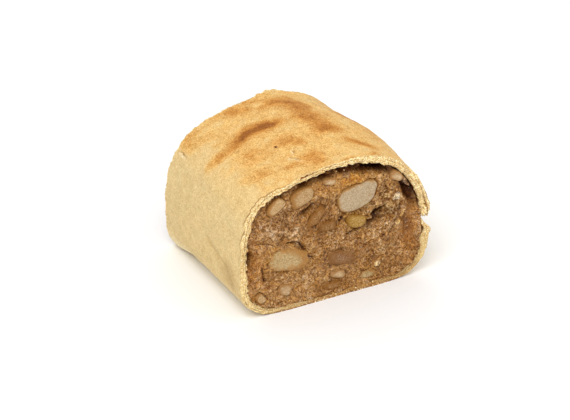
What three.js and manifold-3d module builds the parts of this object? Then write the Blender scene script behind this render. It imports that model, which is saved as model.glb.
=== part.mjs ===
// Apple strudel: one portion cut from a baked log, lying on its flat foot.
// Millimetres. X runs across the log, Y along it and Z up. The main cut faces -Y, the other one +Y.
import * as THREE from 'three';
import Module from 'manifold-3d';

// ---- Driving dimensions ----

const LENGTH = 62; // from cut to cut
const OFF_MIDDLE = 0.37; // how much further the fuller right side reaches out than the left one, halved

// Outline of the log across a cut, clockwise from the crown. What dips under Z = 0 is pressed flat.
const SECTION = [
  [0, 52.9], [13.7, 52.4], [26.1, 46.8], // crown and right shoulder
  [35.8, 34.1], [38.1, 17.5], [34.3, 4.5], // right wall
  [20.6, -0.5], [-20.1, -0.5], // foot
  [-32.4, 2.7], [-38.2, 11.5], [-36.9, 34], // left wall
  [-30.6, 45.6], [-17, 49.9], // left shoulder
];

// The rolled dough: its thickness, where it is thicker (+) or thinner (-), and its leaves at a cut.
const DOUGH = 2.2;
const UNEVEN_DOUGH = [
  { what: 'sheet doubled over the right shoulder', place: 44, extra: 1.3, reach: 22 },
  { what: 'sheet stretched over the crown', place: -11, extra: -0.9, reach: 16 },
  { what: 'end of the doubled sheet', place: 15, extra: 0.7, reach: 6 },
  { what: 'left wall', place: -66, extra: 0.5, reach: 14 },
  { what: 'right wall, drawn thin', place: 80, extra: -0.5, reach: 8 },
  { what: 'right corner', place: 98, extra: 0.4, reach: 9 },
];
const LEAVES = 3;
const LEAF_GROOVE = 0.55;
const RIM_WOBBLE = 0.5;

// Where hand and oven left the log fuller (+) or slumped (-). `place` is measured along the outline
// from the crown, to the right; `reach` and `run` are half widths along the outline and along the log.
const SWELLS = [
  { what: 'back left shoulder', place: -35.1, y: 34, height: -3.1, reach: 15, run: 24 },
  { what: 'right shoulder', place: 38.2, y: -5.1, height: 2.3, reach: 16, run: 16 },
  { what: 'back right shoulder', place: 24, y: 27.3, height: -1.1, reach: 16, run: 16 },
  { what: 'back left wall', place: -64, y: 30, height: -1, reach: 9, run: 12 },
  { what: 'back left foot', place: -79.4, y: 27.7, height: 2.5, reach: 5.9, run: 10 },
  { what: 'crown', place: 8, y: 0, height: 1.7, reach: 16, run: 18 },
];

// A tear in the crust at the main cut, on the right wall, which slants by `slant` from the bore to the
// skin, with a flap above it, bent in at its end, and a lip below it; and a torn flake at the other cut.
const TEAR = { place: 56.8, slant: 2.6, reach: 1.7, depth: 6 };
const TORN_EDGES = [
  { what: 'flap', place: 50.6, y: -32, height: 0.8, reach: 3.4, run: 5 },
  { what: 'end of the flap', place: 55.6, y: -32, height: -0.9, reach: 1.8, run: 4 },
  { what: 'lip', place: 60.8, y: -32, height: 1.3, reach: 2.2, run: 4 },
  { what: 'flake at the other cut', place: 5, y: 32, height: 1.3, reach: 4.5, run: 3.4 },
];
const TORN_SPAN = [47, 63]; // the places between which the tear and its edges lie

// The filling: its clearance in the crust, how far its cuts lie back, and the size of its lumps.
const GAP = 0.4;
const CUT_BACK = 0.9;
const LUMP = 0.55;
const HEART = [0, 24]; // the middle of a cut, X and Z
const CALM_HEART = 12; // the lumps fade out nearer to it than this
const SHRINK = { reach: 26, width: 1.1, run: 7 }; // the slit where it has shrunk from the crown

// Holes in the main cut: centre, long and short half widths, tilt in degrees, depth.
const HOLLOWS = [
  { what: 'pocket under the right shoulder', x: 30, z: 34.4, long: 7, short: 2.3, tilt: -62, depth: 3.8 },
  { what: 'recess under the crown', x: 14.8, z: 46.6, long: 8, short: 1.8, tilt: -13, depth: 3.4 },
  { what: 'hollow beside the yellow apple', x: 16, z: 26.4, long: 4.4, short: 1.9, tilt: 24, depth: 3 },
  { what: 'slot under the left apple', x: -10.6, z: 37.3, long: 4, short: 1.2, tilt: 32, depth: 2.8 },
  { what: 'crevice over the lower apple', x: -12.6, z: 21, long: 8, short: 1.2, tilt: -45, depth: 1.8 },
  { what: 'smooth dip by the right wall', x: 29, z: 22, long: 8, short: 3.5, tilt: -78, depth: 1.8 },
  { what: 'slit at the left wall', x: -34.6, z: 25, long: 7, short: 1.2, tilt: 88, depth: 2.6 },
];

// Apple dice in the two cuts: centre, long and short width, tilt in degrees, how deep they reach in.
const APPLE_AT_MAIN_CUT = [
  { x: 8.4, z: 37.7, long: 15.6, short: 9.6, tilt: 7, deep: 9 },
  { x: -13.8, z: 42.8, long: 8.8, short: 6.6, tilt: 20, deep: 7 },
  { x: -24, z: 41.8, long: 7.2, short: 4.8, tilt: 38, deep: 6 },
  { x: 8.2, z: 27.9, long: 8, short: 5.2, tilt: -14, deep: 6 },
  { x: -18.9, z: 19.3, long: 16.6, short: 8.2, tilt: -12, deep: 8 },
  { x: -20.3, z: 7.7, long: 6, short: 4.4, tilt: -20, deep: 5 },
  { x: -30.2, z: 6.9, long: 4.6, short: 3.2, tilt: -55, deep: 4 },
  { x: 24.4, z: 41.6, long: 5.6, short: 3.8, tilt: -34, deep: 4 },
  { x: -3.4, z: 28.9, long: 6.8, short: 4, tilt: 0, deep: 5 },
  { x: -8, z: 33.8, long: 8.8, short: 4.2, tilt: 50, deep: 5 },
  { x: 2, z: 14.7, long: 12.4, short: 5.8, tilt: -14, deep: 7 },
  { x: 0.9, z: 8.3, long: 7, short: 3, tilt: -12, deep: 4 },
  { x: -1.6, z: 4.4, long: 8.4, short: 3, tilt: -4, deep: 5 },
  { x: 13.3, z: 5, long: 6.6, short: 3, tilt: -5, deep: 5 },
  { x: -2.7, z: 46.2, long: 5, short: 2.6, tilt: -12, deep: 3.5 },
];
const APPLE_AT_OTHER_CUT = [
  { x: -12, z: 36.5, long: 14.4, short: 9.6, tilt: -10, deep: 8 },
  { x: 15, z: 41, long: 9.4, short: 6.4, tilt: 18, deep: 6 },
  { x: 20.5, z: 22.5, long: 13, short: 8.4, tilt: 32, deep: 8 },
  { x: -22, z: 15.5, long: 9.2, short: 6.6, tilt: 40, deep: 6 },
  { x: 1, z: 24, long: 7.4, short: 4.6, tilt: -30, deep: 5 },
  { x: -3, z: 8.6, long: 11.6, short: 5, tilt: 6, deep: 6 },
  { x: 25.5, z: 9.4, long: 7, short: 4.4, tilt: -24, deep: 5 },
];
const APPLE_BACK = 0.7; // how far the dice's cut faces lie back from the end of the log
const POCKET_MOUTH = 6; // the pockets for them run on this far past those faces
const BIG_APPLE = 8; // dice longer than this get the finer mesh

// A die's rings from its cut face to its inner end: the share of its depth and of its full size.
const DIE_PROFILE = [[0, 0.95], [0.18, 1], [0.5, 0.97], [0.8, 0.8], [1, 0.42]];

// Mesh steps.
const ROUND_STEPS = 72;
const TORN_STEP = 1.2;
const FILLING_ROUND_STEPS = 60;
const CRUST_ROWS = [0, 0.04, 0.1, 0.18, 0.28, 0.4, 0.52, 0.64, 0.76, 0.87, 0.96, 1];
const BORE_ROWS = [0, 0.14, 0.3, 0.46, 0.62, 0.74, 0.87, 1];
const FACE_RINGS = [0.15, 0.31, 0.47, 0.62, 0.76, 0.9];

const PASTRY_LOOK = { color: 0xe3bd7c, roughness: 0.78, metalness: 0 };
const FILLING_LOOK = { color: 0x9a6a3a, roughness: 0.6, metalness: 0 };
const APPLE_LOOK = { color: 0xd0b184, roughness: 0.45, metalness: 0 };

// ---- The log's form ----

const outline = new THREE.CatmullRomCurve3(
  SECTION.map(([x, z]) => new THREE.Vector3(x, 0, z)), true, 'catmullrom', 0.5,
);
outline.arcLengthDivisions = 1200;
const ROUND = outline.getLength();

const wrap = (value, period) => value - period * Math.floor(value / period);
const placeGap = (a, b) => wrap(a - b + ROUND / 2, ROUND) - ROUND / 2;
const bell = (x) => Math.exp(-x * x);
const mix = THREE.MathUtils.lerp;

function sectionAt(place) {
  const u = wrap(place, ROUND) / ROUND;
  const point = outline.getPointAt(u);
  const along = outline.getTangentAt(u);
  return { x: point.x, z: point.z, outX: -along.z, outZ: along.x };
}

function swellAt(place, y, swells) {
  return swells.reduce((sum, s) => (
    sum + s.height * bell(placeGap(place, s.place) / s.reach) * bell((y - s.y) / s.run)
  ), 0);
}

// The point that lies `depth` under the log's skin.
function under(depth, place, y, swells = SWELLS) {
  const at = sectionAt(place);
  const out = swellAt(place, y, swells) - depth;
  return new THREE.Vector3(at.x + at.outX * out, y, Math.max(0, at.z + at.outZ * out));
}

const dough = (place) => UNEVEN_DOUGH.reduce((thickness, s) => (
  thickness + s.extra * bell(placeGap(place, s.place) / s.reach)
), DOUGH);

// How far the tear cuts into the main cut's rim, a fraction `across` of the dough's thickness in from the skin.
function tearAt(place, across) {
  const off = placeGap(place, TEAR.place + TEAR.slant * (0.5 - across));
  return TEAR.depth * Math.exp(-((off / TEAR.reach) ** 4));
}

// An uneven wave round the log, between 0 and 1.
function ragged(place, phase) {
  const turn = (2 * Math.PI * place) / ROUND;
  const slow = Math.sin(9 * turn + phase) + Math.sin(17 * turn + 2.3 * phase);
  const wave = slow + Math.sin(29 * turn + 4.1 * phase);
  return 0.5 + wave / 6;
}

// Where the dough ends at a cut (end -1 or 1), a fraction `across` of its thickness in from the skin.
function rimY(place, across, end) {
  const groove = LEAF_GROOVE * (1 - Math.abs(Math.sin(Math.PI * LEAVES * across)));
  const wobble = RIM_WOBBLE * ragged(place, 1 + end + Math.round(LEAVES * across));
  const tear = end < 0 ? tearAt(place, across) : 0;
  return end * (LENGTH / 2 - groove - wobble - tear);
}

// ---- Making closed bodies from rings of points ----

// Joins each ring to the next, rings going clockwise seen from the first one towards the last. The last
// ring joins the first one, or both ends close on the hub's points.
function loft(rings, hub) {
  const count = rings[0].length;
  const points = rings.flat();
  const faces = [];
  const joins = hub ? rings.length - 1 : rings.length;
  for (let r = 0; r < joins; r += 1) {
    const here = r * count;
    const there = ((r + 1) % rings.length) * count;
    for (let i = 0; i < count; i += 1) {
      const next = (i + 1) % count;
      faces.push(here + i, there + next, there + i, here + i, here + next, there + next);
    }
  }
  if (hub) {
    const first = points.push(hub.first) - 1;
    const last = points.push(hub.last) - 1;
    const base = (rings.length - 1) * count;
    for (let i = 0; i < count; i += 1) {
      const next = (i + 1) % count;
      faces.push(first, next, i);
      faces.push(last, base + i, base + next);
    }
  }
  const geometry = new THREE.BufferGeometry().setFromPoints(points);
  geometry.setIndex(faces);
  return geometry;
}

const wasm = await Module();
wasm.setup();

function toSolid(geometry) {
  return new wasm.Manifold(new wasm.Mesh({
    numProp: 3,
    vertProperties: new Float32Array(geometry.getAttribute('position').array),
    triVerts: new Uint32Array(geometry.getIndex().array),
  }));
}

function toGeometry(solid) {
  const mesh = solid.getMesh();
  const geometry = new THREE.BufferGeometry();
  geometry.setAttribute('position', new THREE.BufferAttribute(new Float32Array(mesh.vertProperties), 3));
  geometry.setIndex(new THREE.BufferAttribute(new Uint32Array(mesh.triVerts), 1));
  return geometry;
}

function piece(name, geometry, look) {
  geometry.computeVertexNormals();
  const mesh = new THREE.Mesh(geometry, new THREE.MeshStandardMaterial(look));
  mesh.name = name;
  return mesh;
}

// ---- Pastry: a thick-walled sleeve, open at both cuts ----

// Even steps round the log, with finer ones across the tear and its edges.
function crustPlaces() {
  const step = ROUND / ROUND_STEPS;
  const [from, to] = TORN_SPAN;
  const even = Array.from({ length: ROUND_STEPS }, (_, i) => i * step);
  const fine = [];
  for (let place = from; place < to; place += TORN_STEP) fine.push(place);
  return [...even.filter((p) => p < from - step / 2 || p > to), ...fine].sort((a, b) => a - b);
}

function pastryGeometry() {
  const places = crustPlaces();
  const at = (place, across, y) => under(across * dough(place), place, y, [...SWELLS, ...TORN_EDGES]);
  const wall = (row, across) => places.map((place) => (
    at(place, across, mix(rimY(place, across, -1), rimY(place, across, 1), row))
  ));
  const rim = (across, end) => places.map((place) => at(place, across, rimY(place, across, end)));
  const across = Array.from({ length: 2 * LEAVES - 1 }, (_, i) => (i + 1) / (2 * LEAVES));
  return loft([
    ...CRUST_ROWS.map((row) => wall(row, 0)),
    ...across.map((t) => rim(t, 1)),
    ...BORE_ROWS.toReversed().map((row) => wall(row, 1)),
    ...across.toReversed().map((t) => rim(t, -1)),
  ]);
}

// ---- Filling: a plug that runs through the sleeve, craggy at both cuts ----

function hollowAt(x, z) {
  return HOLLOWS.reduce((sum, h) => {
    const tilt = THREE.MathUtils.degToRad(h.tilt);
    const along = (x - h.x) * Math.cos(tilt) + (z - h.z) * Math.sin(tilt);
    const over = (z - h.z) * Math.cos(tilt) - (x - h.x) * Math.sin(tilt);
    return sum + h.depth * bell(along / h.long) * bell(over / h.short);
  }, 0);
}

function lumpAt(x, z, end) {
  const calm = Math.min(1, Math.hypot(x - HEART[0], z - HEART[1]) / CALM_HEART);
  const coarse = Math.sin(0.61 * x + 0.35 * z + end) * Math.sin(0.52 * z - 0.21 * x);
  const fine = Math.sin(0.93 * x - 0.47 * z) * Math.sin(0.37 * x + 0.88 * z + 2 * end);
  return LUMP * calm * (coarse + 0.7 * fine);
}

function faceY(x, z, end) {
  const hollows = end < 0 ? hollowAt(x, z) : hollowAt(-x, z);
  return end * (LENGTH / 2 - CUT_BACK - LUMP - hollows - lumpAt(x, z, end));
}

// Where the filling meets the crust, with the slit that has opened under the crown near each cut.
function fillingWall(place, y) {
  const slit = SHRINK.width * bell(placeGap(place, 0) / SHRINK.reach);
  const nearCut = bell((LENGTH / 2 - Math.abs(y)) / SHRINK.run);
  return under(dough(place) + GAP + slit * nearCut, place, y);
}

function fillingCore() {
  const step = ROUND / FILLING_ROUND_STEPS;
  const places = Array.from({ length: FILLING_ROUND_STEPS }, (_, i) => i * step);
  const [heartX, heartZ] = HEART;
  const face = (size, end) => places.map((p) => {
    const edge = fillingWall(p, end * (LENGTH / 2 - CUT_BACK));
    const x = mix(heartX, edge.x, size);
    const z = mix(heartZ, edge.z, size);
    return new THREE.Vector3(x, faceY(x, z, end), z);
  });
  const front = face(1, -1);
  const back = face(1, 1);
  const wall = (row) => places.map((p, i) => fillingWall(p, mix(front[i].y, back[i].y, row)));
  return loft([
    ...FACE_RINGS.map((size) => face(size, -1)),
    ...BORE_ROWS.map(wall),
    ...FACE_RINGS.toReversed().map((size) => face(size, 1)),
  ], {
    first: new THREE.Vector3(heartX, faceY(heartX, heartZ, -1), heartZ),
    last: new THREE.Vector3(heartX, faceY(heartX, heartZ, 1), heartZ),
  });
}

// The room inside the crust, run on past both cuts.
function bore() {
  const step = ROUND / FILLING_ROUND_STEPS;
  const ring = (y) => Array.from({ length: FILLING_ROUND_STEPS }, (_, i) => (
    under(dough(i * step) + GAP, i * step, y)
  ));
  const stations = [-1.2, -0.8, -0.4, 0, 0.4, 0.8, 1.2].map((part) => (part * LENGTH) / 2);
  return loft(stations.map(ring), {
    first: new THREE.Vector3(HEART[0], stations.at(0), HEART[1]),
    last: new THREE.Vector3(HEART[0], stations.at(-1), HEART[1]),
  });
}

// ---- Apple: soft-edged dice, cut flat where the knife went through ----

// A die grown by `grow` all round. Where `mouth` isn't 0, it runs on past its cut face by that much.
function dieSolid(die, end, nth, grow, mouth) {
  const sides = die.long > BIG_APPLE ? 12 : 8;
  const tilt = THREE.MathUtils.degToRad(die.tilt);
  const face = LENGTH / 2 - APPLE_BACK;
  const ring = ([inward, size]) => Array.from({ length: sides }, (_, i) => {
    const angle = (-2 * Math.PI * i) / sides;
    const uneven = 1 + 0.06 * Math.sin(2 * angle + nth) + 0.05 * Math.sin(3 * angle + 2.1 * nth);
    const roundness = (Math.abs(Math.cos(angle)) ** 3 + Math.abs(Math.sin(angle)) ** 3) ** (-1 / 3);
    const u = (die.long / 2 + grow) * size * uneven * roundness * Math.cos(angle);
    const v = (die.short / 2 + grow) * size * uneven * roundness * Math.sin(angle);
    return new THREE.Vector3(
      die.x + u * Math.cos(tilt) - v * Math.sin(tilt),
      end * (inward < 0 ? face + mouth : face - inward * (die.deep + grow)),
      die.z + u * Math.sin(tilt) + v * Math.cos(tilt),
    );
  });
  const profile = mouth ? [[-1, 1], [0, 1], ...DIE_PROFILE.slice(1)] : DIE_PROFILE;
  const rings = profile.map(ring);
  if (end > 0) rings.reverse();
  const hub = (y) => new THREE.Vector3(die.x, y, die.z);
  return toSolid(loft(rings, { first: hub(rings[0][0].y), last: hub(rings.at(-1)[0].y) }));
}

// ---- The strudel ----

const strudel = new THREE.Group();
strudel.position.x = -OFF_MIDDLE;
strudel.add(piece('pastry', pastryGeometry(), PASTRY_LOOK));

const room = toSolid(bore());
let filling = toSolid(fillingCore());
[[APPLE_AT_MAIN_CUT, -1, 'main'], [APPLE_AT_OTHER_CUT, 1, 'other']].forEach(([dice, end, cut]) => {
  dice.forEach((die, i) => {
    const apple = room.intersect(dieSolid(die, end, i, 0, 0));
    filling = filling.subtract(dieSolid(die, end, i, GAP, POCKET_MOUTH));
    strudel.add(piece(`apple_${cut}_${i + 1}`, toGeometry(apple), APPLE_LOOK));
  });
});
strudel.add(piece('filling', toGeometry(filling), FILLING_LOOK));

export default strudel;
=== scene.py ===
"""Apple strudel: the baked look of one portion cut from a log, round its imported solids.

Sizes are millimetres until a mesh is made, which is in metres. X runs across the log, Y along it and Z up;
the main cut faces -Y, the other one +Y.
"""
import math

import bpy
import numpy as np
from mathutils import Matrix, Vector


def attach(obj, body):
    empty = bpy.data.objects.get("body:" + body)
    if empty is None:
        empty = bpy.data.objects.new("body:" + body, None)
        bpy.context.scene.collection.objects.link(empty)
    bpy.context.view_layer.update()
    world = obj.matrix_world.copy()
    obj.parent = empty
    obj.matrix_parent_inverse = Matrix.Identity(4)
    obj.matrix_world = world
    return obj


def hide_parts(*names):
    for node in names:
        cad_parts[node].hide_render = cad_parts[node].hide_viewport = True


bl_info = {
    "name": "Apple strudel portion",
    "version": (1, 0, 0),
    "blender": (4, 5, 0),
    "location": "View3D > Sidebar > Strudel",
    "description": "Builds a baked, cut portion of apple strudel round its packed frame",
    "category": "Object",
}

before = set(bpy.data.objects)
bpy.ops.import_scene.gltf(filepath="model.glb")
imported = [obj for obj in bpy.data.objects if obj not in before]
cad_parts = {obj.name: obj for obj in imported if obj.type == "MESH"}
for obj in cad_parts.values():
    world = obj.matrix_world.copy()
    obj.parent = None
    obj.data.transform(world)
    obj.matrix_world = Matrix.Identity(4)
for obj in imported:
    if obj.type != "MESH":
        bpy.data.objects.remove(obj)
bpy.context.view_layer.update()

MM = 0.001

# ---- The log's form, as in the solids ----

LENGTH = 62.0
OFF_MIDDLE = 0.37  # how far the outline's middle lies from its own zero
# The outline of the log, from the crown round by the right wall: x and z.
SECTION = [
    (0, 52.9), (13.7, 52.4), (26.1, 46.8),
    (35.8, 34.1), (38.1, 17.5), (34.3, 4.5),
    (20.6, -0.5), (-20.1, -0.5),
    (-32.4, 2.7), (-38.2, 11.5), (-36.9, 34),
    (-30.6, 45.6), (-17, 49.9),
]
DOUGH = 2.2  # plain thickness of the crust
# Thicker (+) and thinner (-) stretches of the dough: place, extra, reach.
UNEVEN_DOUGH = [(44, 1.3, 22), (-11, -0.9, 16), (15, 0.7, 6), (-66, 0.5, 14), (80, -0.5, 8), (98, 0.4, 9)]
LEAVES = 3  # rolled leaves that show in the cut dough
GAP = 0.4  # between the crust and the filling at the crown
CUT_BACK = 0.9  # how far the filling lies back from the log's end
LUMP = 0.55  # height of the filling's low lumps
WALL_ROWS = 7  # rows of the filling's mesh between its cuts
HEART = (0.0, 24.0)  # x and z of the filling's middle
# Where the filling has shrunk from the crown: half width round, width of the slit, length along.
SHRINK = {"reach": 26, "width": 1.1, "run": 7}

# Fuller (+) and slumped (-) stretches: place along the outline from the crown, y, height, half widths.
SWELLS = [
    (-35.1, 34, -3.1, 15, 24),  # back left shoulder
    (38.2, -5.1, 2.3, 16, 16),  # right shoulder
    (24, 27.3, -1.1, 16, 16),  # back right shoulder
    (-64, 30, -1, 9, 12),  # back left wall
    (-79.4, 27.7, 2.5, 5.9, 10),  # back left foot
    (8, 0, 1.7, 16, 18),  # crown
]
# The same for the dough's edges at the cuts.
TORN_EDGES = [
    (50.6, -32, 0.8, 3.4, 5),  # flap over the tear
    (55.6, -32, -0.9, 1.8, 4),  # its end, bent in
    (60.8, -32, 1.3, 2.2, 4),  # lip under the tear
    (5, 32, 1.3, 4.5, 3.4),  # flake at the other cut
]
# The tear in the right wall: place, slant through the dough, half width and depth from the cut.
TEAR = {"place": 56.8, "slant": 2.6, "reach": 1.7, "depth": 6.0}

# Where the leaves of the main cut's rim peel apart, and the flap over the tear: place and reach.
PEELED = (-30, 17)
FLAP = (50, 6)
# How far the parts of a rim fray, in mm: its leaves, their crumbs, the grooves between them, the teeth at the
# filling, the outer skin and the torn leaves of the flap.
FRAY = {"leaf": 0.42, "crumb": 0.26, "groove": 0.7, "teeth": 0.9, "skin": 0.30, "flap": 1.1}
RIM_RINGS = 15  # rings of the mesh over a rim
INNER_ROWS = 14  # rows of the mesh along the inner wall
# The crease across the top, and how deep the fold and the splits below are, in mm.
CREASE = {"place": 16.5, "slant": 0.3, "from": 10, "y": 12, "depth": 0.5, "reach": 0.9, "run": 9}
FOLD_DEPTH = 0.35
SPLIT_DEPTH = 0.35

# Holes in the main cut: x, z, long and short half widths, tilt in degrees, depth.
HOLLOWS = [
    (30, 34.4, 7, 2.3, -62, 3.8),  # pocket under the right shoulder
    (14.8, 46.6, 8, 1.8, -13, 3.4),  # recess under the crown
    (16, 26.4, 4.4, 1.9, 24, 3),  # hollow beside the yellow apple
    (-10.6, 37.3, 4, 1.2, 32, 2.8),  # slot under the left apple
    (-12.6, 21, 8, 1.2, -45, 1.8),  # crevice over the lower apple
    (29, 22, 8, 3.5, -78, 1.8),  # smooth dip by the right wall
    (-34.6, 25, 7, 1.2, 88, 2.6),  # slit at the left wall
]

# Apple dice: x, z, long and short width, tilt in degrees, depth, flesh.
APPLE_AT_MAIN_CUT = [
    (8.4, 37.7, 15.6, 9.6, 7, 9, "pale"),
    (-13.8, 42.8, 8.8, 6.6, 20, 7, "rosy"),
    (-24, 41.8, 7.2, 4.8, 38, 6, "rosy"),
    (8.2, 27.9, 8, 5.2, -14, 6, "yellow"),
    (-18.9, 19.3, 16.6, 8.2, -12, 8, "straw"),
    (-20.3, 7.7, 6, 4.4, -20, 5, "cream"),
    (-30.2, 6.9, 4.6, 3.2, -55, 4, "rosy"),
    (24.4, 41.6, 5.6, 3.8, -34, 4, "cream"),
    (-3.4, 28.9, 6.8, 4, 0, 5, "amber"),
    (-8, 33.8, 8.8, 4.2, 50, 5, "amber"),
    (2, 14.7, 12.4, 5.8, -14, 7, "glassy"),
    (0.9, 8.3, 7, 3, -12, 4, "cream"),
    (-1.6, 4.4, 8.4, 3, -4, 5, "amber"),
    (13.3, 5, 6.6, 3, -5, 5, "straw"),
    (-2.7, 46.2, 5, 2.6, -12, 3.5, "cream"),
]
APPLE_AT_OTHER_CUT = [
    (-12, 36.5, 14.4, 9.6, -10, 8, "pale"),
    (15, 41, 9.4, 6.4, 18, 6, "rosy"),
    (20.5, 22.5, 13, 8.4, 32, 8, "straw"),
    (-22, 15.5, 9.2, 6.6, 40, 6, "cream"),
    (1, 24, 7.4, 4.6, -30, 5, "yellow"),
    (-3, 8.6, 11.6, 5, 6, 6, "glassy"),
    (25.5, 9.4, 7, 4.4, -24, 5, "rosy"),
]
APPLE_BACK = 0.7  # how far the dice lie back from the log's end

# Slits in the main cut: the points they run through, half width, depth.
CREVICES = [
    (((-19, 25.6), (-14.9, 25.4), (-12, 20.8), (-9, 17.4)), 0.45, 1.5),  # over the lower apple
    (((-31.5, 28.7), (-26, 26.8), (-22.1, 25.9)), 0.3, 0.8),  # its thin run to the left
    (((4.8, 23.4), (7.4, 24.3), (11.6, 25.2)), 0.4, 1.6),  # under the yellow apple
    (((-29.3, 18), (-28.7, 15.4), (-28.1, 13.2)), 0.5, 1.4),  # at the left
    (((1.4, 30.2), (2.8, 30.5)), 0.8, 2.6),  # a small hole at the middle
    (((10.4, 24.9), (12.6, 26.2), (15.4, 27), (17.6, 28.6), (19, 30)), 0.6, 2.6),  # beside the yellow apple
    (((14.6, 28.8), (16.4, 28.4), (18.2, 30)), 0.6, 2.2),
    (((23, 20.6), (25.8, 24.4), (27.2, 28.4)), 0.4, 1.1),  # cliff along the smooth dip
    (((-14.6, 35.2), (-12.6, 38.4)), 0.4, 1.0),
    (((2.4, 38.4), (4.6, 34.4), (9, 33.2)), 0.35, 0.8),
    (((19.6, 41.6), (20.4, 37.6)), 0.4, 0.9),
    (((-5.4, 40.8), (-6.4, 38)), 0.4, 0.9),
]

# Where the pulp is craggiest: x, z and half widths.
CRAGGY = (21, 33, 12, 10)

# Soft stains on a cut: x, z, half width, half height, tint of red, green and blue, strength, and how smooth
# and glassy the pulp is there (0 to 1). A tint over 1 pales the pulp and one under 1 soaks it.
PLAIN = (1, 1, 1)
STAINS = [
    (-22.5, 33.5, 11, 8, (0.98, 1.00, 1.08), 0.8, 0.0),  # rosy pulp
    (-3, 24, 13, 5, (1.03, 1.04, 1.10), 0.6, 0.0),
    (33, 12, 2.4, 2.6, PLAIN, 0.9, 0.3),
    (-32, 19, 4.5, 15, (1.06, 0.92, 0.70), 0.85, 0.6),  # syrup along the left wall
    (-19, 20.5, 14, 7.5, (1.16, 1.12, 0.90), 0.8, 0.6),  # round the lower apple
    (-13, 7, 13, 5.5, (1.16, 1.17, 1.12), 0.8, 0.45),
    (-21, 7.7, 6, 4, (1.22, 1.24, 1.26), 0.6, 0.4),
    (30.5, 18, 3.8, 11, (1.08, 0.90, 0.60), 0.9, 0.85),  # syrup at the right wall
    (20, 9, 12, 7, (0.98, 0.92, 0.76), 0.7, 0.0),
    (21, 37, 7, 7, (0.80, 0.70, 0.50), 0.85, 0.0),
    (33, 31, 3, 5, PLAIN, 0.8, 0.5),
    (27.5, 18, 4, 5, PLAIN, 0.8, 0.6),
    (27, 24, 3, 3, PLAIN, 0.8, 0.6),
    (-26, 15.5, 5, 5, PLAIN, 0.8, 0.5),
    (-21.5, 11, 6, 3.5, PLAIN, 0.8, 0.5),
    (6, 11, 8, 3, PLAIN, 0.7, 0.3),
    (-3, 6.8, 4, 2.5, PLAIN, 0.8, 0.5),
    (-21, 7, 5, 3, PLAIN, 0.6, 0.4),
    (-14, 6, 4, 3, PLAIN, 0.7, 0.3),
    (20, 29.5, 6, 4, (0.78, 0.76, 0.62), 0.8, 0.0),
    (-4, 45.8, 15, 3.6, (1.18, 1.04, 0.64), 0.9, 0.6),  # golden under the crown
    (6, 43.4, 7, 1.8, PLAIN, 0.8, 0.5),
    (9, 45, 9, 2.4, (1.20, 1.08, 0.62), 0.8, 0.6),
    (2.5, 42.6, 6, 3, (1.18, 1.06, 0.62), 0.8, 0.8),
    (-9.5, 34.5, 5.5, 6, (0.96, 0.84, 0.60), 0.75, 0.8),  # glassy pulp in the middle
    (-3.4, 29, 5, 3, (0.94, 0.84, 0.56), 0.6, 0.7),
    (3, 14.8, 9, 4.4, (0.98, 0.88, 0.72), 0.7, 0.7),
    (-1, 6, 10, 3.4, (1.08, 1.04, 0.86), 0.7, 0.6),
    (-20.5, 8.5, 6, 5, PLAIN, 0.8, 0.4),
    (13, 20, 9, 4, (1.06, 1.00, 0.84), 0.6, 0.0),
]

# Pale scraps on the main cut: x, z, long and short width, tilt, how far they stand out, colour.
SCRAPS = [
    (4.8, 48.4, 6, 2.4, 22, 1.2, (190, 146, 96)),  # clings under the crust
    (28.9, 38.2, 6, 2.8, -52, 1.2, (222, 190, 148)),
    (24.5, 33.5, 3.4, 2.4, 30, 0.9, (220, 196, 160)),
    (27, 44, 3, 1.2, -40, 0.8, (206, 172, 128)),
    (17.6, 7.8, 2.4, 1.8, 0, 0.5, (212, 182, 136)),
    (-15.8, 31.4, 1.6, 1.2, 0, 0.5, (206, 176, 138)),
    (27.5, 26, 3.6, 0.9, 62, 0.6, (196, 152, 92)),  # flake on the edge of the smooth dip
    (25.6, 22.6, 2, 1, 30, 0.7, (222, 184, 120)),
    (12.6, 33.2, 1.6, 0.8, 40, 0.6, (232, 196, 130)),
]

# How a die narrows with depth: share of its depth and of its width.
DIE_PROFILE = [(0, 0.95), (0.18, 1), (0.5, 0.97), (0.8, 0.8), (1, 0.42)]
DIE_SIDES = 88

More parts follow.
